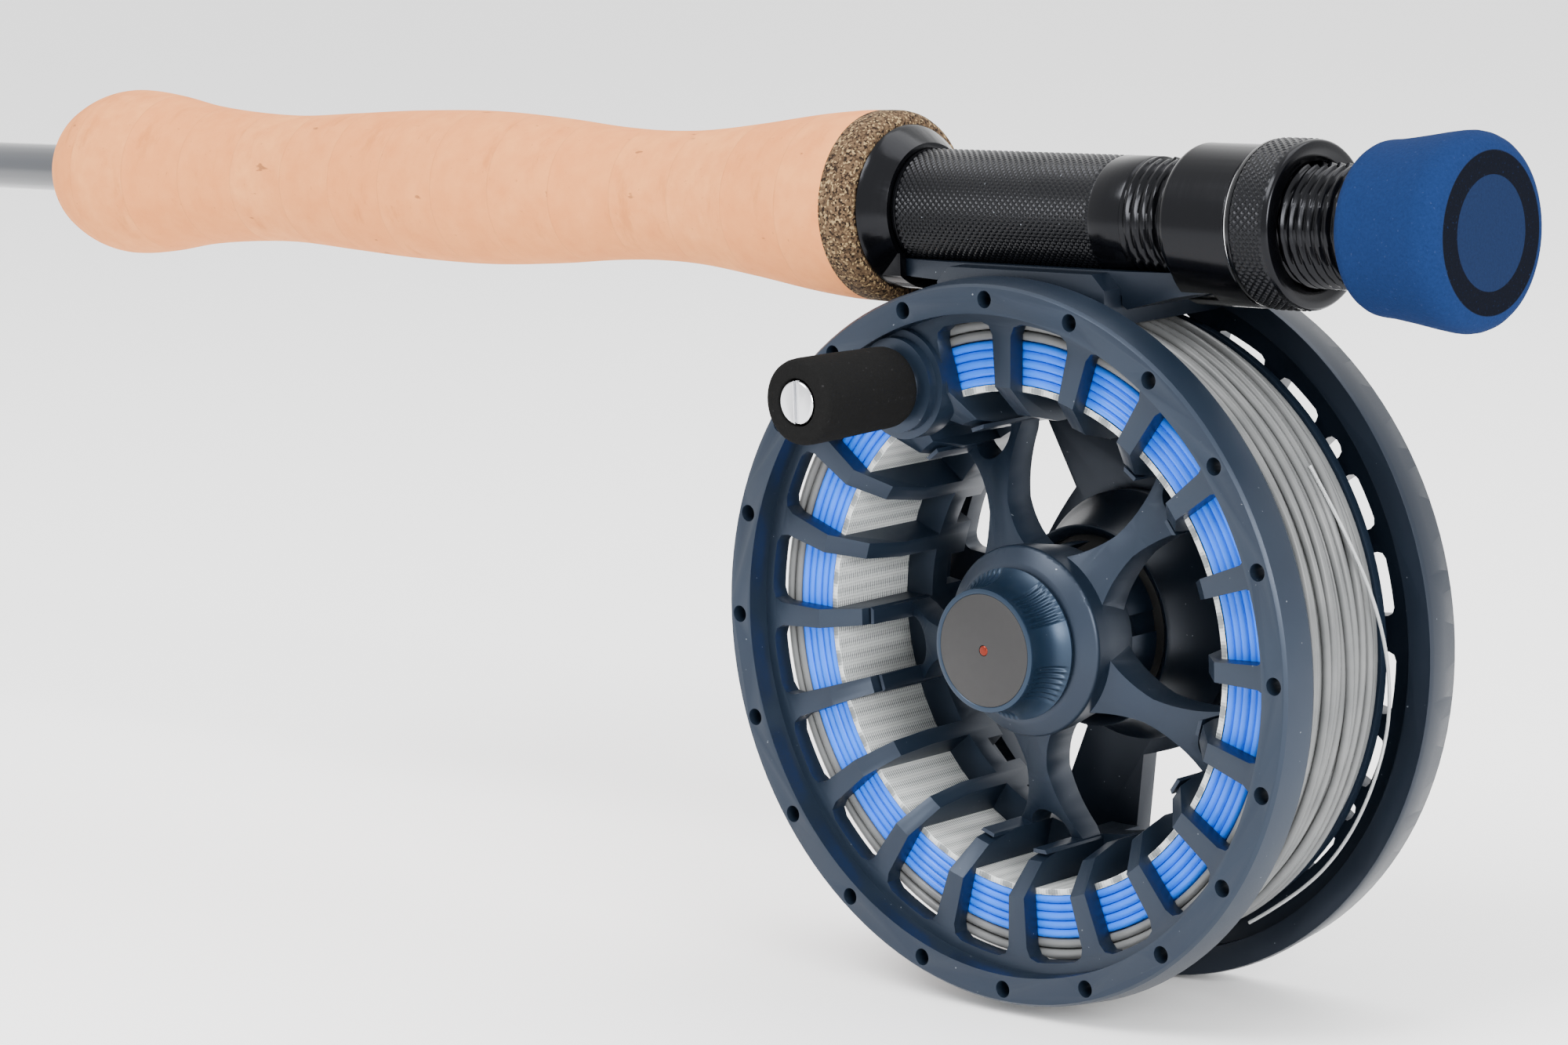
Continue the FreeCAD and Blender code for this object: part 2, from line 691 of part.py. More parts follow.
def drag_housing():
    body = reel_lathe("drag_housing", [
        ("tower_front+1.2", "tower_bore"), ("tower_front+0.1", "tower_rad-0.8"),
        ("tower_front", "tower_rad-0.5"), ("arc", ("tower_front+4.5", "tower_rad+0.1")),
        ("tower_front+9", "tower_rad+2"), ("plate_front-2.2", "tower_rad+3.2"),
        ("plate_front", "tower_rad+3.2"), ("plate_front", "plate_bore"), ("plate_rear", "plate_bore"),
        ("plate_rear", "boss_rad"), ("boss_end", "boss_rad"), ("boss_end", "spindle_rad"),
        ("tower_wall", "spindle_rad"), ("tower_wall", "tower_bore")])
    sketch = new_sketch(body, "XZ_Plane", "-tower_wall+1")
    ring_outline(sketch, ("pin_pcr", 0), "pin_rad+0.1")
    around(body, [pocket(body, sketch, 10)], 3)


def drag_stack():
    """Everything inside the drag housing, from the seal back to the springs."""
    reel_lathe("housing_seal", tube(23.6, 24.6, "sleeve_rad+0.1", "tower_bore"))
    reel_lathe("stator_disc", tube(27.0, 28.0, "sleeve_rad+0.3", "tower_bore"))
    reel_lathe("drag_rotor", [
        (12.9, "spindle_rad+run_gap"), (12.9, "sleeve_rad-0.4"), (13.3, "sleeve_rad"),
        (28.9, "sleeve_rad"), (28.9, "disc_rad"), (30.5, "disc_rad"), (30.5, "spindle_rad+run_gap")])
    click = reel_lathe("click_ring", tube(25.0, 26.6, "sleeve_rad", 9.2))
    sketch = new_sketch(click, "XZ_Plane", -25.0)
    outline(sketch, [polar(9.0, -4), polar(9.8, -0.9), polar(9.8, 0.9), polar(9.0, 4)])
    around(click, [raise_pad(click, sketch, 1.6, back=True)], 24)
    discs = []
    base = V(SIZES["reel_x"], SIZES["reel_y"], SIZES["reel_z"])
    for y0 in (28.1, 30.5):
        points = [(y0, 6.6), (y0 + 0.8, 6.6), (y0 + 0.8, 12.0), (y0, 12.0)]
        discs.append(turned_solid(points, base, V(0, 1, 0)))
    loose_shape("friction_discs", Part.makeCompound(discs))
    reel_lathe("pressure_plate", tube(31.8, 33.0, 5.4, 12.8))
    springs = []
    for y0, lean in ((33.1, 1), (33.8, -1)):
        step = 0.32 if lean > 0 else -0.32
        mid = y0 + (0 if lean > 0 else 0.32)
        points = [(mid, 8.4), (mid + 0.3, 8.4), (mid + 0.3 + step, 12.5), (mid + step, 12.5)]
        springs.append(turned_solid(points, base, V(0, 1, 0)))
    loose_shape("disc_springs", Part.makeCompound(springs))
    pins = []
    for k in range(3):
        turn_by = math.radians(120 * k)
        spot = base + V(SIZES["pin_pcr"] * math.cos(turn_by), 33.0, SIZES["pin_pcr"] * math.sin(turn_by))
        pins.append(Part.makeCylinder(SIZES["pin_rad"], 7.9, spot, V(0, 1, 0)))
    loose_shape("thrust_pins", Part.makeCompound(pins))


def click_pawl():
    """The pin and the small lever that rests beside the click ring's teeth."""
    turn_by = 200
    pin = place(new_body("pawl_pin"), turn_by)
    sketch = new_sketch(pin, "XZ_Plane", -24.8)
    ring_outline(sketch, (11.6, 0), 0.6)
    raise_pad(pin, sketch, 2.2, back=True)
    body = place(new_body("click_pawl"), turn_by)
    sketch = new_sketch(body, "XZ_Plane", -25.1)
    ring_outline(sketch, (11.6, 0), 1.3)
    raise_pad(body, sketch, 1.4, back=True)
    sketch = new_sketch(body, "XZ_Plane", -25.1)
    outline(sketch, [(10.9, 0.6), (12.5, 0.5), (10.9, 4.2), (9.15, 4.1)])
    raise_pad(body, sketch, 1.4, back=True)
    sketch = new_sketch(body, "XZ_Plane", -25.0)
    ring_outline(sketch, (11.6, 0), 0.65)
    pocket(body, sketch, 3)


def spindle():
    reel_lathe("main_spindle", [
        (1.8, 0), (1.8, 2.1), (2.1, 2.4), (8.25, 2.4), (8.3, "spindle_rad"), (33.2, "spindle_rad"),
        (33.2, 4.8), ("tower_wall", 4.8), ("tower_wall", "spindle_rad"), (43.4, "spindle_rad"),
        (43.4, 1.3), (39.8, 1.3), (39.8, 0)])
    nut = place(new_body("spindle_nut"))
    sketch = new_sketch(nut, "XZ_Plane", "-boss_end")
    outline(sketch, [polar(5.2, 60 * k) for k in range(6)])
    raise_pad(nut, sketch, 2.5, back=True)
    sketch = new_sketch(nut, "XZ_Plane", "-boss_end+1")
    ring_outline(sketch, (0, 0), "spindle_rad")
    pocket(nut, sketch, 6)


def drag_knob():
    body = reel_lathe("drag_knob", [
        ("knob_front", "boss_rad+0.1"), ("knob_front", "knob_rad-0.9"), ("knob_front+0.8", "knob_rad"),
        ("knob_rear-1.6", "knob_rad"), ("arc", ("knob_rear-0.5", "knob_rad-0.5")),
        ("knob_rear", "knob_rad-1.6"), ("knob_rear", 2.75), ("knob_rear-1.8", 2.75),
        ("knob_rear-1.8", 1.35), (43.6, 1.35), (43.6, 5.8), (41.0, 5.8), (41.0, "boss_rad+0.1")])
    sketch = new_sketch(body, "XZ_Plane", "-knob_front-1.6")
    ring_outline(sketch, ("knob_rad+2.0", 0), 3.2)
    around(body, [pocket(body, sketch, 12)], 10)
    screw = reel_lathe("knob_screw", [
        (40.2, 0), (40.2, 1.25), ("knob_rear-1.8", 1.25), ("knob_rear-1.8", 2.6),
        ("knob_rear-0.4", 2.6), ("knob_rear-0.2", 2.4), ("knob_rear-0.2", 0)])
    sketch = new_sketch(screw, "XZ_Plane", "-knob_rear+1.2")
    outline(sketch, [polar(1.3, 60 * k) for k in range(6)])
    pocket(screw, sketch, 3)


# ---------------------------------------------------------------- spool

def spool():
    body = reel_lathe("spool", [
        (0.0, "rim_inner_rad"), (0.0, "rim_face_rad"), (0.5, "rim_rad-0.6"), ("rim_depth", "rim_rad"),
        ("flange", "rim_rad-0.6"), ("flange", "arbor_rad"), ("rear_flange", "arbor_rad"),
        ("rear_flange", "rear_flange_rad"), ("rear_flange_end", "rear_flange_rad"),
        ("rear_flange_end", "arbor_rad"), ("ring_end", "arbor_rad-1.6"), ("ring_end", "arbor_bore"),
        (14.0, "arbor_bore"), (8.0, "arbor_bore+1.5"), ("ledge", 37.0), ("ledge", "rim_inner_rad")],
        "spoke_turn")
    pitch = "360/rib_count"
    half = f"({pitch})/2-rib_half"
    sketch = new_sketch(body, "XZ_Plane", 1)
    outline(sketch, sector("arbor_bore-2", "window_rad", f"-{pitch}", half, 1.9))
    windows = pocket(body, sketch, "window_end+1")
    around(body, [windows], 19, 324)
    sketch = new_sketch(body, "XZ_Plane", 1)
    outline(sketch, [polar("arbor_bore-2", -5.4), polar("arbor_bore-2", 5.4),
                     polar("arbor_rad-3.4", 5.4), polar("arbor_rad-1.9", 3.4), polar("arbor_rad-1.3", 0),
                     polar("arbor_rad-1.9", -3.4), polar("arbor_rad-3.4", -5.4)])
    pocket(body, sketch, "window_end+1")
    spokes_and_hub(body)
    sketch = new_sketch(body, "XZ_Plane", 1)
    ring_outline(sketch, polar("rim_hole_pcr", "9"), "rim_hole_rad")
    around(body, [pocket(body, sketch, 9)], 20)
    sketch = new_sketch(body, "XZ_Plane", "-notch_start")
    outline(sketch, [("arbor_bore-1", "-notch_wide/2"), ("arbor_bore+2.3", "-notch_wide/2"),
                     ("arbor_bore+2.3", "notch_wide/2"), ("arbor_bore-1", "notch_wide/2")])
    around(body, [pocket(body, sketch, 6)], 20)
    sketch = new_sketch(body, "XZ_Plane", "-pad_y")
    ring_outline(sketch, ("handle_pcr", 0), "pad_rad-1.1")
    raise_pad(body, sketch, "flange-pad_y", back=True)
    sketch = new_sketch(body, "XZ_Plane", "-pad_y-1.5")
    ring_outline(sketch, ("handle_pcr", 0), "pad_rad")
    raise_pad(body, sketch, "flange-pad_y-1.5", back=True)
    sketch = new_sketch(body, "XZ_Plane", "-pad_y+1")
    ring_outline(sketch, ("handle_pcr", 0), 1.5)
    pocket(body, sketch, 9)


def spokes_and_hub(body):
    """Five forked spokes, coned front and rear, and the drum in the middle."""
    sketch = new_sketch(body, "XZ_Plane", "-spoke_y")
    outline(sketch, [
        polar(12.4, -29), ("arc", polar(15.4, -12.8)), polar(20.2, -5.6),
        ("arc", polar(26.2, -7.2)), polar("arbor_bore+0.6", -11.6), polar("arbor_bore+0.6", -6.9),
        ("arc", polar(27.4, 0)), polar("arbor_bore+0.6", 6.9), polar("arbor_bore+0.6", 11.6),
        ("arc", polar(26.2, 7.2)), polar(20.2, 5.6), ("arc", polar(15.4, 12.8)), polar(12.4, 29)])
    spoke = raise_pad(body, sketch, 12.6, back=True)
    around(body, [spoke], 5)
    out = "arbor_bore-0.01"
    front = f"spoke_y+({out}-12.4)*spoke_lean"
    lathe_more(body, [("spoke_y-1", 12.4), ("spoke_y", 12.4), (front, out), ("spoke_y-1", out)], "Y", cut=True)
    lathe_more(body, [("spoke_y+spoke_thick+1", 12.4), (front + "+spoke_thick", out), (23, out), (23, 12.4)],
               "Y", cut=True)
    lathe_more(body, [
        (4.9, "cap_stem_rad+0.06"), (4.9, 11.2), (5.2, 11.8), (6.3, 13.5), ("arc", (6.6, 13.8)),
        (7.1, "hub_rad"), (10, "hub_rad-0.2"), (15.6, "hub_rad-1.2"), ("arc", (17.3, 11.4)),
        (20.2, "hub_neck"), ("hub_end", "hub_neck"), ("hub_end", 9.6), (22.6, 9.6),
        (22.6, "clutch_rad"), ("clutch_start", "clutch_rad"), ("clutch_start", "bearing_rad"),
        ("bearing_start", "bearing_rad"), ("bearing_start", 5.4), (7.6, 5.4),
        (7.6, "cap_stem_rad+0.06")], "Y")


def hub_pieces():
    reel_lathe("hub_bearing", tube("bearing_start", "bearing_start+3.8", "spindle_rad+run_gap", "bearing_rad"))
    reel_lathe("clutch_bearing", tube("clutch_start", 22.4, "sleeve_rad+run_gap", "clutch_rad"))
    reel_lathe("hub_retainer", tube(22.6, 23.2, 6.5, 9.6))


def handle_at(label, points):
    """A piece turned about the handle's own axis."""
    body = lathe(label, points, "Y")
    body.setExpression("Placement.Base.x", bound("reel_x+handle_pcr*cos(spoke_turn)"))
    body.setExpression("Placement.Base.y", bound("reel_y"))
    body.setExpression("Placement.Base.z", bound("reel_z+handle_pcr*sin(spoke_turn)"))
    return body


def handle():
    front = "pad_y-0.9-grip_len"
    handle_at("handle_washer", tube("pad_y-0.8", "pad_y", "post_rad", 4.3))
    handle_at("handle_post", tube(front + "+1.1", "pad_y", 1.5, "post_rad"))
    handle_at("handle_grip", [
        (front, "post_head_rad+0.3"), (front, "grip_front_rad-1.1"),
        ("arc", (front + "+0.3", "grip_front_rad-0.35")), (front + "+1.1", "grip_front_rad"),
        ("pad_y-2", "grip_rear_rad"), ("arc", ("pad_y-1.2", "grip_rear_rad-0.25")),
        ("pad_y-0.9", "grip_rear_rad-0.9"), ("pad_y-0.9", "post_rad+0.06"),
        (front + "+1.2", "post_rad+0.06"), (front + "+1.2", "post_head_rad+0.3")])
    screw = handle_at("handle_screw", [
        (front + "-0.1", 0), (front + "-0.1", "post_head_rad-0.25"), (front + "+0.15", "post_head_rad"),
        (front + "+1.1", "post_head_rad"), (front + "+1.1", 1.5), ("flange-0.4", 1.5), ("flange-0.4", 0)])
    sketch = new_sketch(screw, "XZ_Plane", f"-({front})+1")
    outline(sketch, [(-0.4, -4), (0.4, -4), (0.4, 4), (-0.4, 4)])
    pocket(screw, sketch, 1.6)


def release_cap():
    body = reel_lathe("release_cap", [
        ("cap_front", "cap_disc_rad"), ("cap_front", "cap_rad-0.15"), ("cap_front+0.3", "cap_rad+0.05"),
        ("arc", (1.6, 9.35)), ("cap_skirt-0.5", "cap_skirt_rad"), ("cap_skirt", "cap_skirt_rad-0.2"),
        ("cap_skirt", "cap_stem_rad"), (8.2, "cap_stem_rad"), (8.2, 2.46), (1.2, 2.46), (1.2, 0.8),
        ("cap_front+0.8", 0.8), ("cap_front+0.8", "cap_disc_rad")], 42)
    sketch = new_sketch(body, "XZ_Plane", -0.6)
    for k in range(-2, 3):
        ring_outline(sketch, polar("cap_skirt_rad-0.25", 7.5 * k), 0.62)
    around(body, [pocket(body, sketch, 6)], 5)
    reel_lathe("cap_disc", tube("cap_front", "cap_front+0.8", 0.8, "cap_disc_rad"))
    reel_lathe("cap_rivet", [("cap_front-0.1", 0), ("cap_front-0.1", 0.6), ("cap_front+0.1", 0.8),
                             (1.2, 0.8), (1.2, 0)])
    reel_lathe("cap_clip", tube(7.65, 8.15, "cap_stem_rad", 5.2))


def windings():
    """The wound line as closed rings: backing, running line and head."""
    front, rear = "flange+pack_gap", "rear_flange-pack_gap"
    reel_lathe("backing_winding", tube(front, rear, "arbor_rad", "backing_rad"))
    reel_lathe("running_line_winding", tube(front, rear, "backing_rad", "running_rad"))
    reel_lathe("head_winding", [
        (front, "running_rad"), (front, "head_rad"), ("arc", (f"({front}+{rear})/2", "head_crown")),
        (rear, "head_rad"), (rear, "running_rad")])


LEADER = [(33, 48.3, 21.5), (20, 49.0, 22.6), (5, 49.9, 25.2), (-9, 49.7, 27.9), (-22, 49.2, 28.9),
          (-36, 49.1, 29.4), (-50, 48.8, 29.3), (-62, 48.3, 28.2)]
LEADER_RAD = 0.26


def bent_path(points):
    """Straight runs joined by tangent arcs, with the smallest bend radius."""
    edges, last, smallest = [], points[0], 1e9
    for before, corner, after in zip(points, points[1:], points[2:]):
        way_in, way_out = (before - corner), (after - corner)
        run = 0.45 * min(way_in.Length, way_out.Length)
        way_in.normalize()
        way_out.normalize()
        half_turn = (math.pi - way_in.getAngle(way_out)) / 2
        radius = run / math.tan(half_turn)
        inward = way_in + way_out
        inward.normalize()
        first, second = corner + way_in * run, corner + way_out * run
        middle = corner + inward * (radius / math.cos(half_turn) - radius)
        edges.append(Part.LineSegment(last, first).toShape())
        edges.append(Part.Arc(first, middle, second).toShape())
        last, smallest = second, min(smallest, radius)
    edges.append(Part.LineSegment(last, points[-1]).toShape())
    return Part.Wire(edges), smallest


def leader():
    """The thin end of the line, loose between the spool and the frame ring."""
    base = V(SIZES["reel_x"], SIZES["reel_y"], SIZES["reel_z"])
    points = []
    for angle, radius, y in LEADER:
        turn_by = math.radians(angle)
        points.append(base + V(radius * math.cos(turn_by), y, radius * math.sin(turn_by)))
    path, smallest = bent_path(points)
    ring = Part.Wire([Part.makeCircle(LEADER_RAD, points[0], points[1] - points[0])])
    tube_shape = path.makePipeShell([ring], True, True)
    ideal = math.pi * LEADER_RAD ** 2 * path.Length
    print("leader length", round(path.Length, 1), "smallest bend", round(smallest, 1),
          "volume ratio", round(tube_shape.Volume / ideal, 3))
    print("leader route", [[round(c / 1000, 6) for c in point] for point in points])
    loose_shape("leader", tube_shape)


# ---------------------------------------------------------------- build and check

def check_document():
    """Stop on any feature that failed."""
    doc.recompute()
    for item in doc.Objects:
        bad = [state for state in item.State if state in ("Invalid", "Error")]
        if bad:
            raise RuntimeError(f"{item.Label} is {bad}")


def export_all():
    os.makedirs("parts", exist_ok=True)
    for item in parts:
        shape = item.Shape
        if shape.isNull() or not shape.isValid() or shape.Volume < 1e-3:
            raise RuntimeError(f"{item.Label} has no sound shape")
        shape.exportStep(f"parts/{item.Label}.step")


fill_sheet()
blank_and_ferrule()
stripping_guide()
hook_keeper()
grip()
fixed_hood()
seat()
sliding_hood()
butt()
reel_foot()
foot_screws()
reel_frame()
drag_housing()
drag_stack()
click_pawl()
spindle()
drag_knob()
spool()
hub_pieces()
handle()
release_cap()
windings()
leader()
check_document()
export_all()
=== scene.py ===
import math
import random

import bmesh
import bpy
from mathutils import Matrix, Vector


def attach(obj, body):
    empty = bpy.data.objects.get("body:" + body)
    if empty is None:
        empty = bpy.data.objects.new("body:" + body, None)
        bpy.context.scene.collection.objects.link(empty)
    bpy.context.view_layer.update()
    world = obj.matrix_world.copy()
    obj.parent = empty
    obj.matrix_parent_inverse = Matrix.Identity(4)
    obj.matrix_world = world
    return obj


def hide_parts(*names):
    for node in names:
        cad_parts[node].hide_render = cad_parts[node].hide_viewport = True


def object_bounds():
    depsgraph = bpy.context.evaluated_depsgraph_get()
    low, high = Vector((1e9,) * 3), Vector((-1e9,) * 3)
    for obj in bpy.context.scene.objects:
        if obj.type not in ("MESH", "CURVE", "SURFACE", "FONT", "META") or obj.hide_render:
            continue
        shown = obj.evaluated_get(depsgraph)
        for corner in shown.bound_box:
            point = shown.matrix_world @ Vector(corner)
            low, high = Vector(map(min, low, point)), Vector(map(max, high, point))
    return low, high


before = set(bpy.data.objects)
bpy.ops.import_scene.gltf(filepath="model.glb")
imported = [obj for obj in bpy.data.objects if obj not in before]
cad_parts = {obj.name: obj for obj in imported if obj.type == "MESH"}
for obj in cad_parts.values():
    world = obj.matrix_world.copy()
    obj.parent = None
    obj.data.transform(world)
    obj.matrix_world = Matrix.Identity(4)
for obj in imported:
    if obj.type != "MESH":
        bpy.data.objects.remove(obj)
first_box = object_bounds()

# Butt section of a fly rod with its reel. Metres, +X to the butt, +Z up, the
# reel's handle side facing -Y. REEL is the point where the reel's axis meets
# the plane of the spool rim's front face.
REEL = Vector((-0.074, -0.018, -0.0603))
MM = 0.001
ROOT = "rod_and_reel_frame"
TAU = math.tau


# ---------------------------------------------------------------- camera and light

def add_camera():
    data = bpy.data.cameras.new("camera")
    data.lens, data.sensor_width, data.clip_start = 109.96, 36.0, 0.01
    cam = bpy.data.objects.new("camera", data)
    bpy.context.scene.collection.objects.link(cam)
    right = Vector((0.7282, 0.6843, -0.0388))
    back = Vector((0.6808, -0.7157, 0.1560)).normalized()
    right = (right - back * right.dot(back)).normalized()
    up = back.cross(right)
    turn = Matrix((right, up, back)).transposed().to_4x4()
    cam.matrix_world = Matrix.Translation((0.3663, -0.5230, 0.0647)) @ turn
    bpy.context.scene.camera = cam
    return cam


def area_light(name, place, target, size, power, colour=(1, 1, 1)):
    data = bpy.data.lights.new(name, "AREA")
    data.shape, data.size, data.energy, data.color = "SQUARE", size, power, colour
    lamp = bpy.data.objects.new(name, data)
    bpy.context.scene.collection.objects.link(lamp)
    lamp.location = place
    lamp.rotation_euler = (Vector(target) - Vector(place)).to_track_quat("-Z", "Y").to_euler()
    return lamp


camera = add_camera()


# ---------------------------------------------------------------- the loose leader

LEADER_RADIUS = 0.00026  # half its thickness, in metres
LEADER = [(33, 48.3, 21.5), (20, 49.0, 22.6), (5, 49.9, 25.2), (-9, 49.7, 27.9), (-22, 49.2, 28.9),
          (-36, 49.1, 29.4), (-50, 48.8, 29.3), (-62, 48.3, 28.2)]


def on_reel(angle, radius, station):
    """A point from an angle in degrees (from +X towards +Z), a radius and a station in mm."""
    turn = math.radians(angle)
    return REEL + Vector((radius * math.cos(turn), station, radius * math.sin(turn))) * MM


def add_leader():
    curve = bpy.data.curves.new("leader_line", "CURVE")
    curve.dimensions, curve.bevel_depth, curve.bevel_resolution = "3D", 1.0, 3
    line = curve.splines.new("NURBS")
    line.points.add(len(LEADER) - 1)
    for spot, point in zip(LEADER, line.points):
        point.co = (*on_reel(*spot), 1)
        point.radius = LEADER_RADIUS  # a curve's bounds reach out by this, so the bevel's depth is 1
    line.order_u, line.use_endpoint_u, line.resolution_u = 3, True, 12
    piece = bpy.data.objects.new("leader_line", curve)
    bpy.context.scene.collection.objects.link(piece)
    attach(piece, ROOT)
    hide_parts("leader")
    return piece


leader = add_leader()


# ---------------------------------------------------------------- materials

def linear(code):
    """An sRGB hex colour as a linear one."""
    out = []
    for k in (1, 3, 5):
        c = int(code[k:k + 2], 16) / 255
        out.append(c / 12.92 if c <= 0.04045 else ((c + 0.055) / 1.055) ** 2.4)
    return (*out, 1)


def add(tree, kind, inputs=None, **props):
    """One shader node. An input is a number, a colour or another node's socket."""
    made = tree.nodes.new(kind)
    for key, given in props.items():
        setattr(made, key, given)
    for key, given in (inputs or {}).items():
        if isinstance(given, bpy.types.NodeSocket):
            tree.links.new(given, made.inputs[key])
        else:
            made.inputs[key].default_value = given
    return made


def math_node(tree, operation, a, b=0.0):
    return add(tree, "ShaderNodeMath", {0: a, 1: b}, operation=operation).outputs[0]


def blend(tree, factor, a, b):
    """A colour between a and b."""
    mix = add(tree, "ShaderNodeMix", {0: factor, 6: a, 7: b}, data_type="RGBA")
    return mix.outputs[2]


def noise(tree, coords, scale, detail=3.0, rough=0.5, stretch=None):
    """Noise between 0 and 1, stretched by a scale on each axis."""
    if stretch:
        coords = add(tree, "ShaderNodeMapping", {"Vector": coords, "Scale": stretch}).outputs[0]
    made = add(tree, "ShaderNodeTexNoise",
               {"Vector": coords, "Scale": scale, "Detail": detail, "Roughness": rough})
    return made.outputs["Fac"]


def step(tree, value, low, high):
    """0 below low, 1 above high."""
    made = add(tree, "ShaderNodeMapRange", {"Value": value, "From Min": low, "From Max": high},
               interpolation_type="SMOOTHSTEP")
    return made.outputs[0]


def bump(tree, height, distance, strength=1.0):
    made = add(tree, "ShaderNodeBump", {"Height": height, "Distance": distance, "Strength": strength})
    return made.outputs[0]


def material(name):
    """An empty material: (material, tree, object coordinates, principled shader)."""
    made = bpy.data.materials.new(name)
    made.use_nodes = True
    tree = made.node_tree
    shader = tree.nodes["Principled BSDF"]
    coords = tree.nodes.new("ShaderNodeTexCoord").outputs["Object"]
    return made, tree, coords, shader


def put(tree, shader, **values):
    """Constants and sockets onto the principled shader."""
    for key, given in values.items():
        key = key.replace("_", " ")
        if isinstance(given, bpy.types.NodeSocket):
            tree.links.new(given, shader.inputs[key])
        else:
            shader.inputs[key].default_value = given


def anodised(name, dark, light, rough, metal=0.6, grain=0.000004):
    """Satin anodised aluminium: an even colour, a fine blasted grain and a little dust."""
    made, tree, coords, shader = material(name)
    wide = noise(tree, coords, 60, 3)
    fine = noise(tree, coords, 5200, 2)
    dust = math_node(tree, "MULTIPLY", step(tree, noise(tree, coords, 1700, 1), 0.79, 0.83), 0.55)
    base = blend(tree, wide, linear(dark), linear(light))
    put(tree, shader, Base_Color=blend(tree, dust, base, linear("#8b929b")), Metallic=metal,
        Roughness=math_node(tree, "ADD", math_node(tree, "MULTIPLY", fine, 0.12), rough - 0.06),
        Normal=bump(tree, fine, grain))
    return made


def gloss_black(name="gloss_black_anodised"):
    """Polished black anodised aluminium with faint turning marks round the rod."""
    made, tree, coords, shader = material(name)
    lines = noise(tree, coords, 900, 2, 0.6, (3.0, 0.12, 0.12))
    put(tree, shader, Base_Color=linear("#0b0c10"), Metallic=0.75,
        Roughness=math_node(tree, "ADD", math_node(tree, "MULTIPLY", lines, 0.14), 0.12),
        Normal=bump(tree, lines, 0.000002))
    return made


def steel(name, code, rough):
    """Turned stainless steel with fine marks."""
    made, tree, coords, shader = material(name)
    lines = noise(tree, coords, 2500, 2, 0.6, (1.0, 0.2, 1.0))
    put(tree, shader, Base_Color=linear(code), Metallic=1.0,
        Roughness=math_node(tree, "ADD", math_node(tree, "MULTIPLY", lines, 0.15), rough),
        Normal=bump(tree, lines, 0.0000015))
    return made


def cork():
    """Sanded cork rings: a tone for each ring, thin joints, streaks and small pits."""
    made, tree, coords, shader = material("natural_cork")
    apart = add(tree, "ShaderNodeSeparateXYZ", {0: coords})
    along = math_node(tree, "DIVIDE", math_node(tree, "ADD", apart.outputs[0], 0.2953), 0.01265)
    ring = math_node(tree, "FLOOR", along)
    tone = add(tree, "ShaderNodeTexWhiteNoise", {"W": ring}, noise_dimensions="1D").outputs["Value"]
    part = math_node(tree, "FRACT", along)
    edge = math_node(tree, "MINIMUM", part, math_node(tree, "SUBTRACT", 1.0, part))
    joint = math_node(tree, "SUBTRACT", 1.0, step(tree, edge, 0.0, 0.018))
    shifted = add(tree, "ShaderNodeCombineXYZ", {0: math_node(tree, "MULTIPLY", ring, 3.7)}).outputs[0]
    own = add(tree, "ShaderNodeVectorMath", {0: coords, 1: shifted}, operation="ADD").outputs[0]
    grain = noise(tree, own, 260, 6, 0.6)
    streak = noise(tree, own, 90, 5, 0.65, (2.2, 0.7, 1.0))
    base = blend(tree, grain, linear("#c0703a"), linear("#e29a5e"))
    base = blend(tree, math_node(tree, "MULTIPLY", tone, 0.42), base, linear("#cc7a40"))
    base = blend(tree, math_node(tree, "MULTIPLY", step(tree, streak, 0.56, 0.74), 0.4), base,
                 linear("#a9612f"))
    pits = noise(tree, own, 330, 3, 0.55, (0.55, 1.6, 1.6))
    hole = step(tree, pits, 0.70, 0.76)
    fleck = step(tree, noise(tree, own, 1300, 2), 0.71, 0.78)
    marks = math_node(tree, "MAXIMUM", math_node(tree, "MULTIPLY", hole, 0.85),
                      math_node(tree, "MULTIPLY", fleck, 0.35))
    base = blend(tree, marks, base, linear("#8a5836"))
    base = blend(tree, math_node(tree, "MULTIPLY", joint, 0.16), base, linear("#9a683f"))
    height = math_node(tree, "SUBTRACT", math_node(tree, "MULTIPLY", grain, 0.25),
                       math_node(tree, "MULTIPLY", marks, 1.0))
    height = math_node(tree, "SUBTRACT", height, math_node(tree, "MULTIPLY", joint, 0.4))
    put(tree, shader, Base_Color=base, Roughness=0.78, Normal=bump(tree, height, 0.00012, 0.8))
    shader.inputs["Specular IOR Level"].default_value = 0.12
    return made


def burl():
    """Pressed cork made from dark, tan and pale crumbs."""
    made, tree, coords, shader = material("burl_cork")
    cells = add(tree, "ShaderNodeTexVoronoi", {"Vector": coords, "Scale": 3300.0})
    apart = add(tree, "ShaderNodeSeparateColor", {0: cells.outputs["Color"]})
    base = blend(tree, apart.outputs[0], linear("#32261c"), linear("#5f4c38"))
    base = blend(tree, step(tree, apart.outputs[1], 0.72, 0.78), base, linear("#1e1610"))
    base = blend(tree, step(tree, apart.outputs[2], 0.84, 0.88), base, linear("#857050"))
    put(tree, shader, Base_Color=base, Roughness=0.9, Specular_IOR_Level=0.12,
        Normal=bump(tree, cells.outputs["Distance"], 0.00012, 0.7))
    return made


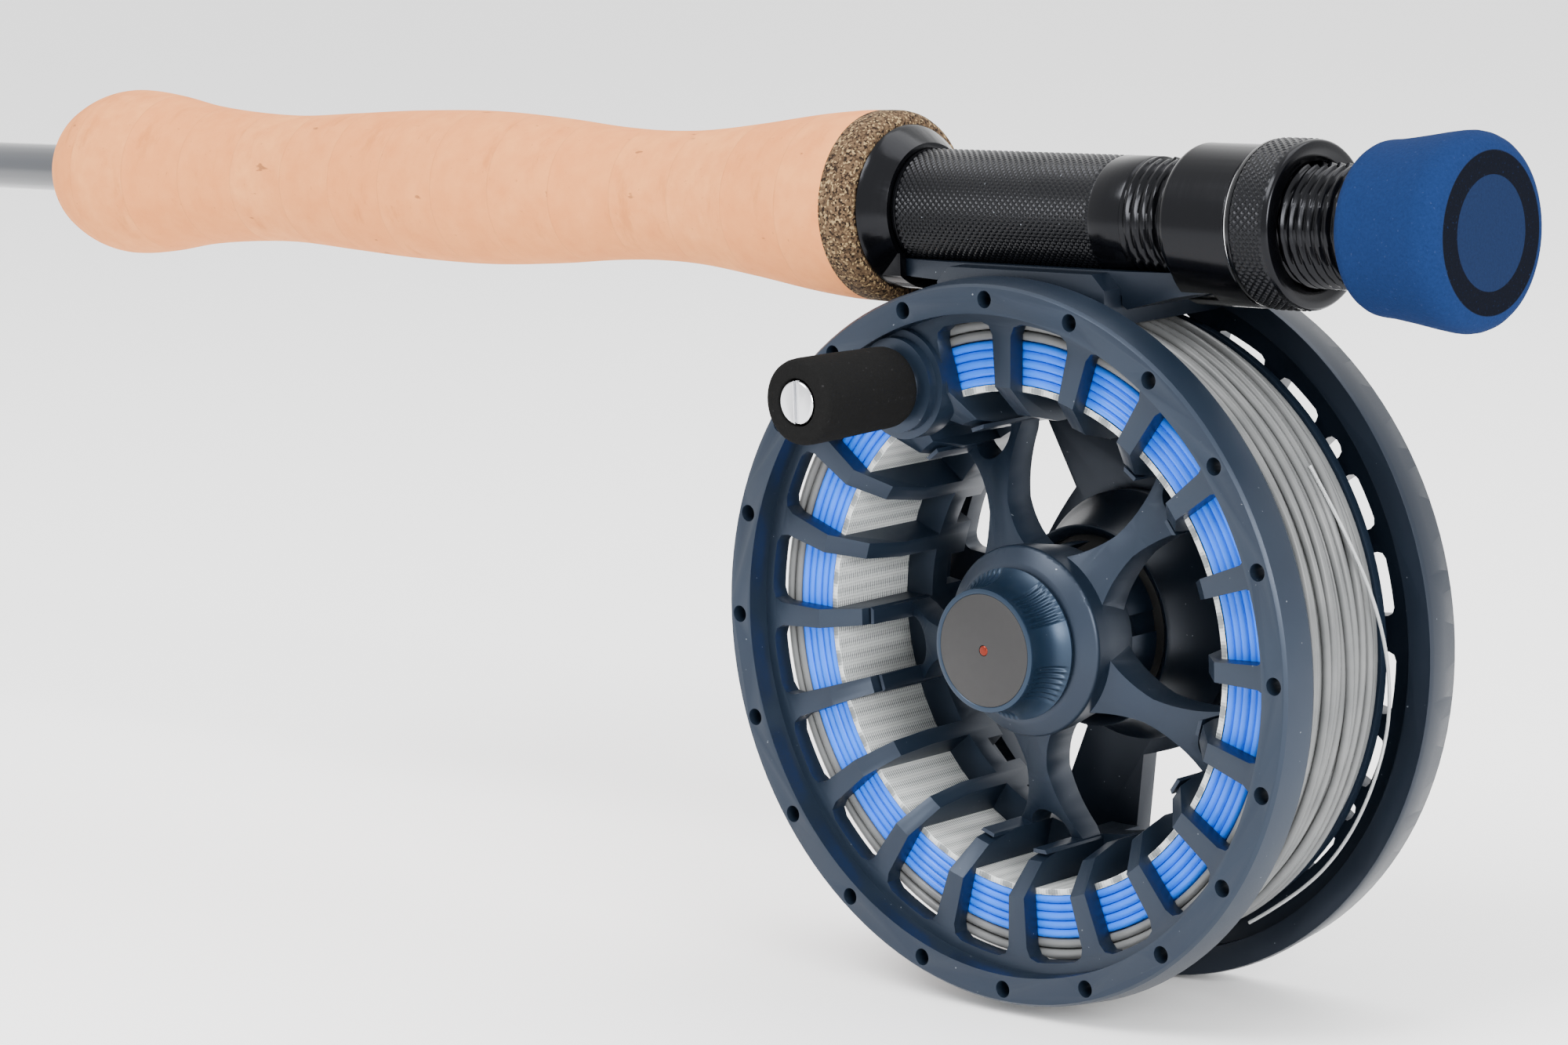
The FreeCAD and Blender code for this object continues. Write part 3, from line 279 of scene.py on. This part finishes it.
def foam(name, dark, light, fleck, cell, rough=0.9, depth=0.00008):
    """Ground closed-cell foam with open pores and pale specks."""
    made, tree, coords, shader = material(name)
    fine = noise(tree, coords, cell, 4, 0.65)
    specks = step(tree, noise(tree, coords, cell * 0.8, 2), 0.68, 0.76)
    base = blend(tree, fine, linear(dark), linear(light))
    base = blend(tree, math_node(tree, "MULTIPLY", specks, 0.3), base, linear(fleck))
    put(tree, shader, Base_Color=base, Roughness=rough, Specular_IOR_Level=0.06,
        Normal=bump(tree, fine, depth, 0.9))
    return made


def coated_line(name, dark, light, rough=0.32, sheer=0.0):
    """Smooth plastic-coated line, slightly uneven in tone."""
    made, tree, coords, shader = material(name)
    tone = noise(tree, coords, 140, 3)
    put(tree, shader, Base_Color=blend(tree, tone, linear(dark), linear(light)), Roughness=rough,
        Transmission_Weight=sheer, Specular_IOR_Level=0.25)
    return made


def braid():
    """White braided backing: fine crossing strands wound close round the reel."""
    made, tree, coords, shader = material("white_braided_backing")
    local = add(tree, "ShaderNodeVectorMath", {0: coords, 1: tuple(-REEL)}, operation="ADD").outputs[0]
    apart = add(tree, "ShaderNodeSeparateXYZ", {0: local})
    angle = add(tree, "ShaderNodeMath", {0: apart.outputs[2], 1: apart.outputs[0]},
                operation="ARCTAN2").outputs[0]
    around = math_node(tree, "MULTIPLY", angle, 0.036)
    waves = []
    for lean in (0.10, -0.10):
        across = math_node(tree, "ADD", apart.outputs[1], math_node(tree, "MULTIPLY", around, lean))
        waves.append(math_node(tree, "SINE", math_node(tree, "MULTIPLY", across, TAU / 0.00042)))
    small = math_node(tree, "SINE", math_node(tree, "MULTIPLY", around, TAU / 0.0005))
    weave = math_node(tree, "MAXIMUM", waves[0], waves[1])
    weave = math_node(tree, "ADD", weave, math_node(tree, "MULTIPLY", small, 0.3))
    # The crossing strand pattern is the braid's own; the grey in the low parts between the strands is painted
    # shade.
    tone = step(tree, weave, -0.6, 1.0)
    put(tree, shader, Base_Color=blend(tree, tone, linear("#6f7374"), linear("#c2c5c4")), Roughness=0.6,
        Normal=bump(tree, weave, 0.00006, 0.8))
    return made


def gloss_blank():
    """Clear-coated dark blue fibre blank."""
    made, tree, coords, shader = material("clear_coated_blank")
    tone = noise(tree, coords, 300, 3, 0.5, (0.1, 1, 1))
    put(tree, shader, Base_Color=blend(tree, tone, linear("#040a13"), linear("#081422")), Roughness=0.35,
        Coat_Weight=1.0, Coat_Roughness=0.06)
    return made


def thread(name, code):
    """Winding thread under clear epoxy: fine turns round the blank."""
    made, tree, coords, shader = material(name)
    apart = add(tree, "ShaderNodeSeparateXYZ", {0: coords})
    turns = math_node(tree, "SINE", math_node(tree, "MULTIPLY", apart.outputs[0], TAU / 0.00022))
    put(tree, shader, Base_Color=linear(code), Roughness=0.35, Coat_Weight=1.0, Coat_Roughness=0.05,
        Normal=bump(tree, turns, 0.00002, 0.5))
    return made


def plain(name, code, rough, metal=0.0):
    """A small part's even finish with faint wear."""
    made, tree, coords, shader = material(name)
    wear = noise(tree, coords, 900, 3)
    put(tree, shader, Base_Color=linear(code), Metallic=metal,
        Roughness=math_node(tree, "ADD", math_node(tree, "MULTIPLY", wear, 0.1), rough))
    return made


def printed_face_in_painted_shade():
    """Blue foam end face with a plain dark printed band."""
    made, tree, coords, shader = material("printed_foam_face_painted_shade")
    apart = add(tree, "ShaderNodeSeparateXYZ", {0: coords})
    flat = add(tree, "ShaderNodeCombineXYZ", {1: apart.outputs[1], 2: apart.outputs[2]}).outputs[0]
    radius = add(tree, "ShaderNodeVectorMath", {0: flat}, operation="LENGTH").outputs["Value"]
    outer = step(tree, radius, 0.01105, 0.01098)
    inner = step(tree, radius, 0.00775, 0.00782)
    band = math_node(tree, "MULTIPLY", outer, inner)
    rough = noise(tree, coords, 2600, 3)
    band = math_node(tree, "MULTIPLY", band, step(tree, rough, 0.22, 0.4))
    fine = noise(tree, coords, 2400, 4, 0.65)
    # The face's blue is a darker, greyer copy of the butt foam's blue: painted shade on the end face. The
    # dark band over it is print.
    base = blend(tree, fine, linear("#0a1429"), linear("#12213f"))
    base = blend(tree, math_node(tree, "MULTIPLY", band, 0.92), base, linear("#010205"))
    put(tree, shader, Base_Color=base, Roughness=1.0, Specular_IOR_Level=0.08,
        Normal=bump(tree, fine, 0.00006, 0.8))
    return made


def stage_white():
    """Matt white paper."""
    made, tree, coords, shader = material("matt_paper")
    tone = noise(tree, coords, 3, 2)
    put(tree, shader, Base_Color=blend(tree, tone, linear("#ffffff"), linear("#ffffff")), Roughness=0.7)
    shader.inputs["Specular IOR Level"].default_value = 0.1
    return made


NAVY = anodised("navy_satin_anodised", "#131d2a", "#192636", 0.4, 0.5)
DARK_NAVY = anodised("dark_satin_anodised", "#0d1520", "#131d2a", 0.4, 0.5)
BLUE = anodised("blue_satin_anodised", "#12202f", "#182c40", 0.36, 0.55)
CAP_FACE = plain("warm_grey_disc", "#121112", 0.55)
RED = anodised("red_anodised_rivet", "#5c1c14", "#702717", 0.3, 0.8)
BLACK = gloss_black()
SATIN_BLACK = anodised("black_knurled_anodised", "#090a0d", "#101116", 0.3, 0.7)
STEEL = steel("turned_stainless", "#b9babd", 0.2)
BRIGHT = steel("polished_trim", "#d6d7da", 0.12)
CORK = cork()
BURL = burl()
HANDLE_FOAM = foam("black_handle_foam", "#0c0c0c", "#161616", "#3c3c3d", 2600, 1.0, 0.00012)
BUTT_FOAM = foam("blue_butt_foam", "#0b1a38", "#162a52", "#3f4c6c", 2600, 1.0, 0.0001)
FACE = printed_face_in_painted_shade()
HEAD_LINE = coated_line("grey_head_line", "#4c4e4f", "#727373")
RUNNING_LINE = coated_line("blue_running_line", "#0058d8", "#0a74f4")
CLEAR = coated_line("clear_monofilament", "#c9cccd", "#dadcdd", 0.12, 0.6)
BACKING = braid()
BLANK = gloss_blank()
THREAD = thread("dark_winding_thread", "#0b1424")
CERAMIC = plain("dark_guide_ceramic", "#161718", 0.08)
RUBBER = plain("black_seal_rubber", "#101010", 0.7)
CARBON = plain("carbon_friction_disc", "#131313", 0.5)
FILLER = plain("foam_filler", "#c4bb9d", 0.9)


# ---------------------------------------------------------------- mesh helpers

def keep(obj, mat, body, nodes):
    """Link a new piece, give it its material, attach it to its body and hide the CAD nodes it stands for."""
    if obj.name not in bpy.context.scene.collection.objects:
        bpy.context.scene.collection.objects.link(obj)
    obj.data.materials.clear()
    obj.data.materials.append(mat)
    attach(obj, body)
    if nodes:
        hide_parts(*nodes)
    return obj


def from_grid(name, rings, sharp=40):
    """A skin over rings of points. Each ring has the same number of points."""
    bm = bmesh.new()
    rows = [[bm.verts.new(p) for p in ring] for ring in rings]
    size = len(rings[0])
    for a, b in zip(rows, rows[1:]):
        for k in range(size):
            n = (k + 1) % size
            bm.faces.new((a[k], a[n], b[n], b[k]))
    bmesh.ops.remove_doubles(bm, verts=bm.verts, dist=1e-7)
    bmesh.ops.recalc_face_normals(bm, faces=bm.faces)
    mesh = bpy.data.meshes.new(name)
    bm.to_mesh(mesh)
    bm.free()
    mesh.shade_smooth()
    mesh.set_sharp_from_angle(angle=math.radians(sharp))
    return bpy.data.objects.new(name, mesh)


def lathe_x(name, profile, mat, body, nodes=(), segments=128, sharp=40):
    """A turned piece round the rod. The profile is a closed or open run of (x, r) in mm."""
    rings = []
    for x, r in profile:
        rings.append([(x * MM, r * MM * math.cos(TAU * k / segments), r * MM * math.sin(TAU * k / segments))
                      for k in range(segments)])
    return keep(from_grid(name, rings, sharp=sharp), mat, body, nodes)


def lathe_y(name, profile, mat, body, nodes=(), centre=REEL, segments=160, sharp=40):
    """A turned piece round the reel's axis. The profile is (station, r) in mm."""
    rings = []
    for y, r in profile:
        rings.append([centre + Vector((r * math.cos(TAU * k / segments), y,
                                       r * math.sin(TAU * k / segments))) * MM
                      for k in range(segments)])
    return keep(from_grid(name, rings, sharp=sharp), mat, body, nodes)


def smooth_run(points, per=8):
    """A smooth run through points, by a centripetal-like cubic."""
    out = []
    count = len(points)
    for i in range(count - 1):
        p0, p1, p2, p3 = (points[max(0, i - 1)], points[i], points[i + 1], points[min(count - 1, i + 2)])
        m1 = (p2[1] - p0[1]) / max(1e-9, p2[0] - p0[0]) * (p2[0] - p1[0])
        m2 = (p3[1] - p1[1]) / max(1e-9, p3[0] - p1[0]) * (p2[0] - p1[0])
        for s in range(per):
            t = s / per
            h = (2 * t ** 3 - 3 * t ** 2 + 1, t ** 3 - 2 * t ** 2 + t, -2 * t ** 3 + 3 * t ** 2,
                 t ** 3 - t ** 2)
            out.append((p1[0] + (p2[0] - p1[0]) * t, h[0] * p1[1] + h[1] * m1 + h[2] * p2[1] + h[3] * m2))
    out.append(points[-1])
    return out


def refine(node, mat, body, bevel=0.25, sharp=32, segments=3, name=None):
    """A CAD node's shape with its edges softened, standing for that node."""
    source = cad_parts[node]
    bm = bmesh.new()
    bm.from_mesh(source.data)
    bmesh.ops.remove_doubles(bm, verts=bm.verts, dist=2e-6)
    bmesh.ops.dissolve_limit(bm, angle_limit=math.radians(0.6), verts=bm.verts, edges=bm.edges)
    bmesh.ops.recalc_face_normals(bm, faces=bm.faces)
    mesh = bpy.data.meshes.new(name or node + "_shown")
    bm.to_mesh(mesh)
    bm.free()
    mesh.shade_smooth()
    piece = bpy.data.objects.new(mesh.name, mesh)
    bpy.context.scene.collection.objects.link(piece)
    if bevel:
        edge = piece.modifiers.new("edges", "BEVEL")
        edge.width, edge.segments, edge.limit_method = bevel * MM, segments, "ANGLE"
        edge.angle_limit = math.radians(sharp)
        edge.harden_normals = True
        edge.use_clamp_overlap = True
        bpy.context.view_layer.update()
        done = bpy.data.meshes.new_from_object(piece.evaluated_get(bpy.context.evaluated_depsgraph_get()))
        piece.modifiers.clear()
        piece.data = done
    else:
        mesh.set_sharp_from_angle(angle=math.radians(sharp))
    return keep(piece, mat, body, [node])


def tube_along(points, radius, sides=8):
    """Rings of a tube along points, kept from twisting."""
    rings, side = [], None
    count = len(points)
    for i, p in enumerate(points):
        ahead = points[min(count - 1, i + 1)] - points[max(0, i - 1)]
        ahead.normalize()
        if side is None:
            side = ahead.orthogonal().normalized()
        side = (side - ahead * side.dot(ahead)).normalized()
        other = ahead.cross(side)
        rings.append([p + (side * math.cos(TAU * k / sides) + other * math.sin(TAU * k / sides)) * radius
                      for k in range(sides)])
    return rings


def wander(seed, count):
    """A smooth random wave round the reel, between about -1 and 1."""
    local = random.Random(seed)
    terms = [(local.randint(1, 4), local.uniform(0, TAU), local.uniform(0.3, 1)) for _ in range(3)]
    total = sum(t[2] for t in terms)
    return [sum(a * math.sin(n * TAU * k / count + ph) for n, ph, a in terms) / total
            for k in range(count + 1)]


def coil(name, radius, size, stations, mat, body, nodes=(), stray=0.0, lift=0.0, sides=8, steps=150):
    """Turns of line lying side by side. stations are each turn's place along the axis in mm."""
    points = []
    for index, station in enumerate(stations):
        following = stations[min(index + 1, len(stations) - 1)]
        wave, rise = wander(index * 7 + 3, steps), wander(index * 11 + 5, steps)
        for k in range(steps):
            part = k / steps
            fade = math.sin(math.pi * part)
            y = station + (following - station) * part + stray * wave[k] * fade
            r = radius(y) + lift * rise[k] * fade
            points.append(on_reel(360 * part + 75, r, y))
    piece = from_grid(name, tube_along(points, size / 2 * MM, sides), sharp=180)
    return keep(piece, mat, body, nodes)


# ---------------------------------------------------------------- rod

GRIP = [(-295.3, 5.2), (-294.9, 6.6), (-294, 8.2), (-292.4, 10.0), (-290, 11.6), (-285, 13.4),
        (-280, 14.0), (-272, 13.35),
        (-262, 11.8), (-250, 10.8), (-238, 10.5), (-224, 11.2), (-209, 11.95), (-192, 12.2), (-176, 11.4),
        (-164, 10.4), (-154, 10.0), (-144, 10.3), (-132, 11.6), (-120, 13.2), (-112, 13.95), (-108.6, 14.05)]


def rod_pieces():
    for node, mat, slot in (("blank", BLANK, "navy_gloss_graphite"),
                            ("ferrule_spigot", BLANK, "navy_gloss_graphite"),
                            ("ferrule_wrap", THREAD, "black_thread"), ("guide_wraps", THREAD, "black_thread"),
                            ("keeper_wraps", THREAD, "black_thread"), ("guide_frame", STEEL, "guide_steel"),
                            ("guide_ring", CERAMIC, "guide_ceramic"), ("hook_keeper", STEEL, "guide_steel")):
        refine(node, mat, ROOT, bevel=0, sharp=50)
    refine("trim_ring", BRIGHT, ROOT, 0.1)
    refine("winding_check", BLACK, ROOT, 0.15)
    lathe_x("grip_cork", smooth_run(GRIP, 10), CORK, ROOT, ["cork_grip"], 160, 60)
    edge = [(-108.6, 14.05), (-107, 14.1), (-105.6, 14.1), (-104.8, 13.95), (-104.1, 13.6), (-103.6, 13.1),
            (-103.4, 12.5), (-103.4, 11.4)]
    lathe_x("grip_burl", edge, BURL, ROOT, ["burl_ring"], 160, 60)


def wave_tri(t):
    """A triangle wave between 0 and 1."""
    t = t % 1.0
    return 1 - abs(2 * t - 1)


def knurled(name, x0, x1, radius, pitch, depth, per, body, nodes=(),
            lead=0.35, mat=None):
    """A band with a diamond knurl, running out to plain edges."""
    count = round(TAU * radius / pitch)
    around, rows = count * per, max(4, round((x1 - x0) / pitch * per))
    rings = []
    for i in range(rows + 1):
        x = x0 + (x1 - x0) * i / rows
        fade = min(1.0, (x - x0) / lead, (x1 - x) / lead)
        ring = []
        for k in range(around):
            turn = TAU * k / around
            u, v = turn / TAU * count, x / pitch
            rise = min(wave_tri((u + v) * 0.5), wave_tri((u - v) * 0.5)) * 2
            r = radius - depth + depth * min(1.0, rise) * max(0.0, fade)
            ring.append((x * MM, r * MM * math.cos(turn), r * MM * math.sin(turn)))
        rings.append(ring)
    return keep(from_grid(name, rings, sharp=25), mat or SATIN_BLACK, body, nodes)


def threaded(name, x0, x1, radius, pitch, depth, keyway, body):
    """The seat's thread with its keyway along the top."""
    per, around = 10, 160
    rows = round((x1 - x0) / pitch * per)
    rings = []
    for i in range(rows + 1):
        x = x0 + (x1 - x0) * i / rows
        fade = min(1.0, (x - x0) / 0.8)
        ring = []
        for k in range(around):
            turn = TAU * k / around
            rise = wave_tri(x / pitch - turn / TAU)
            rise = min(1.0, max(0.0, rise * 1.7 - 0.25))
            r = radius - depth * (1 - rise) * fade
            off = abs((turn - math.pi / 2 + math.pi) % TAU - math.pi) * radius
            if off < keyway / 2 and x > x0 + 1.5:
                r = min(r, (radius - 0.95) / max(0.2, math.cos(off / radius)))
            ring.append((x * MM, r * MM * math.cos(turn), r * MM * math.sin(turn)))
        rings.append(ring)
    return keep(from_grid(name, rings, sharp=30), BLACK, body, ())


def seat_pieces():
    refine("fixed_hood", BLACK, ROOT, 0.3, 30)
    lathe_x("seat_core", [(-110, 8.5), (-99.0, 8.5), (-99.0, 8.7), (-98.4, 8.7), (-98.4, 8.4)], BLACK,
            ROOT, ["seat_barrel"])
    knurled("seat_knurl", -98.6, -62.2, 8.68, 0.54, 0.2, 3, ROOT)
    lathe_x("seat_band",
            [(-62.4, 8.3), (-62.2, 8.62), (-61.9, 8.7), (-57.0, 8.7), (-56.7, 8.6), (-56.5, 8.1)],
            BLACK, ROOT)
    threaded("seat_thread", -56.6, -17.7, 8.68, 1.5, 0.62, 3.0, ROOT)
    refine("sliding_hood", BLACK, "hood", 0.45, 30, 4)
    refine("nut_washer", BRIGHT, "hood", 0.08)
    first, last = -35.9, -28.4
    rim = [(first, 8.8), (first, 11.2), (first + 0.12, 11.45), (first + 0.5, 11.65),
           (first + 1.0, 11.7), (first + 1.05, 11.5)]
    lathe_x("nut_front", rim, BLACK, "nut", ["lock_nut"])
    knurled("nut_knurl", first + 1.0, last - 0.9, 11.85, 0.62, 0.24, 3, "nut")
    rim = [(last - 0.95, 11.5), (last - 0.9, 11.75), (last - 0.4, 11.7), (last - 0.1, 11.5), (last, 11.25),
           (last, 9.5), (last - 0.35, 9.05), (last - 0.5, 8.8)]
    lathe_x("nut_rear", rim, BLACK, "nut")


def butt_pieces():
    shape = smooth_run([(-17.3, 11.5), (-16.4, 11.93), (-14, 12.15), (-10, 12.7), (-6.5, 13.25),
                        (-4.2, 13.55)], 6)
    end = [(-17.7, 8.6), (-17.68, 10.6), (-17.55, 11.15)]
    tail = [(-3.2, 13.6), (-2.2, 13.45), (-1.3, 13.1), (-0.65, 12.6), (-0.25, 12.05),
            (-0.05, 11.55), (0.0, 11.1)]
    lathe_x("butt_foam", end + shape + tail, BUTT_FOAM, ROOT, ["fighting_butt"], 160, 60)
    rings = [(0.0, 11.1), (0.0, 9.0), (0.0, 5.0), (0.0, 0.001)]
    lathe_x("butt_face", rings, FACE, ROOT, ["butt_inlay"], 160)


# ---------------------------------------------------------------- reel

def reel_pieces():
    refine("spool", NAVY, "spool", 0.3, 28, 3)
    refine("reel_frame", DARK_NAVY, ROOT, 0.35, 28, 3)
    refine("reel_foot", DARK_NAVY, ROOT, 0.3, 28, 3)
    refine("drag_housing", DARK_NAVY, ROOT, 0.25, 28, 3)
    refine("foot_screws", STEEL, ROOT, 0.1)
    fluted_cap()
    lathe_y("cap_face", [(-1.4, 0.8), (-2.2, 0.8), (-2.2, 8.0), (-2.12, 8.12), (-1.4, 8.15)], CAP_FACE,
            "cap", ["cap_disc"])
    refine("cap_rivet", RED, "cap", 0.1)
    refine("drag_knob", NAVY, "drag_knob", 0.4)
    refine("knob_screw", STEEL, "drag_knob", 0.12)
    refine("handle_screw", BRIGHT, "spool", 0.1)
    refine("handle_washer", BRIGHT, "spool", 0.12)
    refine("handle_post", STEEL, "spool", 0.1)


def fluted_cap():
    """The release cap: a flared skirt with five groups of fine flutes, and its stem."""
    around, rows, rings = 720, 26, []
    for y, r in ((-1.4, 8.15), (-2.12, 8.15), (-2.2, 8.25), (-2.2, 8.7), (-2.12, 8.88), (-1.95, 8.95)):
        rings.append([(y, r)] * around)
    for i in range(rows + 1):
        t = i / rows
        y, ring = -1.9 + 6.0 * t, []
        fade = min(1.0, max(0.0, (t - 0.1) / 0.25), max(0.0, (1 - t) / 0.06))
        for k in range(around):
            off = ((360 * k / around - 42 + 36) % 72) - 36
            groove = (0.5 - 0.5 * math.cos(TAU * (off - 18.5) / 5.3)) if abs(off) < 18.55 else 0.0
            ring.append((y, 8.95 + 2.05 * t ** 3 - 0.36 * fade * groove))
        rings.append(ring)
    for y, r in ((4.3, 11.0), (4.5, 10.92), (4.6, 10.75), (4.6, 4.3), (4.7, 4.0), (8.2, 4.0), (8.2, 2.6)):
        rings.append([(y, r)] * around)
    skin = [[REEL + Vector((r * math.cos(TAU * k / around), y, r * math.sin(TAU * k / around))) * MM
             for k, (y, r) in enumerate(ring)] for ring in rings]
    keep(from_grid("fluted_cap", skin, sharp=35), BLUE, "cap", ["release_cap"])


def handle_foam():
    turn = math.radians(116.6)
    centre = REEL + Vector((40.8 * math.cos(turn), 0, 40.8 * math.sin(turn))) * MM
    shape = [(-18.3, 3.45), (-19.3, 3.45), (-19.48, 3.65), (-19.5, 4.4), (-19.48, 5.2),
             (-19.36, 5.65), (-19.05, 5.98),
             (-18.5, 6.15), (-17.4, 6.22), (-12, 6.15), (-6, 6.0), (-2, 5.92), (-1.0, 5.85),
             (-0.3, 5.6), (0.05, 5.1),
             (0.1, 4.4), (0.1, 2.5)]
    lathe_y("handle_foam", shape, HANDLE_FOAM, "handle", ["handle_grip"], centre, 96, 60)


def line_pieces():
    def crown(level):
        return lambda y: level + 0.75 * (1 - ((y - 17.6) / 11.3) ** 2)
    width = 1.45
    turns = [6.35 + width / 2 + k * (28.85 - 6.35 - width) / 14.0 for k in range(15)]
    turns = [turns[0]] + turns
    coil("head_line_top", crown(45.55), width, turns, HEAD_LINE, "spool",
         ["head_winding"], 0.34, 0.28)
    coil("head_line_under", lambda y: 44.1, width, turns, HEAD_LINE, "spool", (), 0.05, 0.0)
    loose = [9.0, 13.8, 12.2, 18.4, 15.0, 22.6, 20.0, 25.6]
    coil("head_line_loose", crown(46.55), 1.3, loose, HEAD_LINE, "spool", (), 1.5, 0.1)
    narrow = 1.27
    for layer in range(5):
        radius = 36.95 + narrow * (layer + 0.5)
        front = 6.35 + narrow / 2 + 0.12 * (layer % 2)
        nodes = ["running_line_winding"] if layer == 0 else ()
        coil(f"running_line_{layer + 1}", lambda y, r=radius: r, narrow,
             [front, front, front + narrow], RUNNING_LINE,
             "spool", nodes, 0.1, 0.12)
    wall = [(7.9, 37.0), (7.9, 43.2), (28.6, 43.2), (28.6, 37.0)]
    lathe_y("running_line_core", wall, RUNNING_LINE, "spool")
    lathe_y("backing_wall",
            [(6.5, 36.98), (6.4, 36.8), (6.4, 36.2), (6.5, 36.05), (28.7, 36.05), (28.7, 36.98)],
            BACKING, "spool", ["backing_winding"])


def inner_pieces():
    """The pieces inside the hub and the drag keep their CAD shape."""
    finish = {"seat_arbor": FILLER, "housing_seal": RUBBER, "friction_discs": CARBON}
    for name in ("seat_arbor", "housing_seal", "stator_disc", "pawl_pin", "main_spindle",
                 "spindle_nut", "disc_springs",
                 "drag_rotor", "click_ring", "friction_discs", "click_pawl", "pressure_plate", "thrust_pins",
                 "hub_bearing", "clutch_bearing", "hub_retainer", "cap_clip"):
        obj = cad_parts[name]
        for spot in obj.material_slots:
            spot.material = finish.get(name, STEEL)


rod_pieces()
seat_pieces()
butt_pieces()
reel_pieces()
handle_foam()
line_pieces()
inner_pieces()
leader.data.materials.append(CLEAR)


# ---------------------------------------------------------------- floor and light

FLOOR_HALF = 6  # metres from its middle to each edge
SKY_STRENGTH = 1.9


def add_stage():
    """A wide pale floor under the reel."""
    low, far = first_box[0][2], FLOOR_HALF
    mesh = bpy.data.meshes.new("floor")
    mesh.from_pydata([(-far, -far, low), (far, -far, low), (far, far, low), (-far, far, low)], [],
                     [(0, 1, 2, 3)])
    floor = bpy.data.objects.new("floor", mesh)
    bpy.context.scene.collection.objects.link(floor)
    mesh.materials.append(stage_white())
    world = bpy.data.worlds.new("studio")
    world.use_nodes = True
    back = world.node_tree.nodes["Background"]
    back.inputs[0].default_value, back.inputs[1].default_value = (1, 1, 1, 1), SKY_STRENGTH
    bpy.context.scene.world = world
    area_light("key", (-0.25, -0.75, 0.95), (-0.08, 0, -0.05), 0.55, 16)
    area_light("top", (0.15, 0.35, 1.0), (-0.08, 0, -0.05), 0.8, 9)
    area_light("side", (0.85, -0.45, 0.30), (-0.08, 0, -0.06), 0.45, 16)


add_stage()
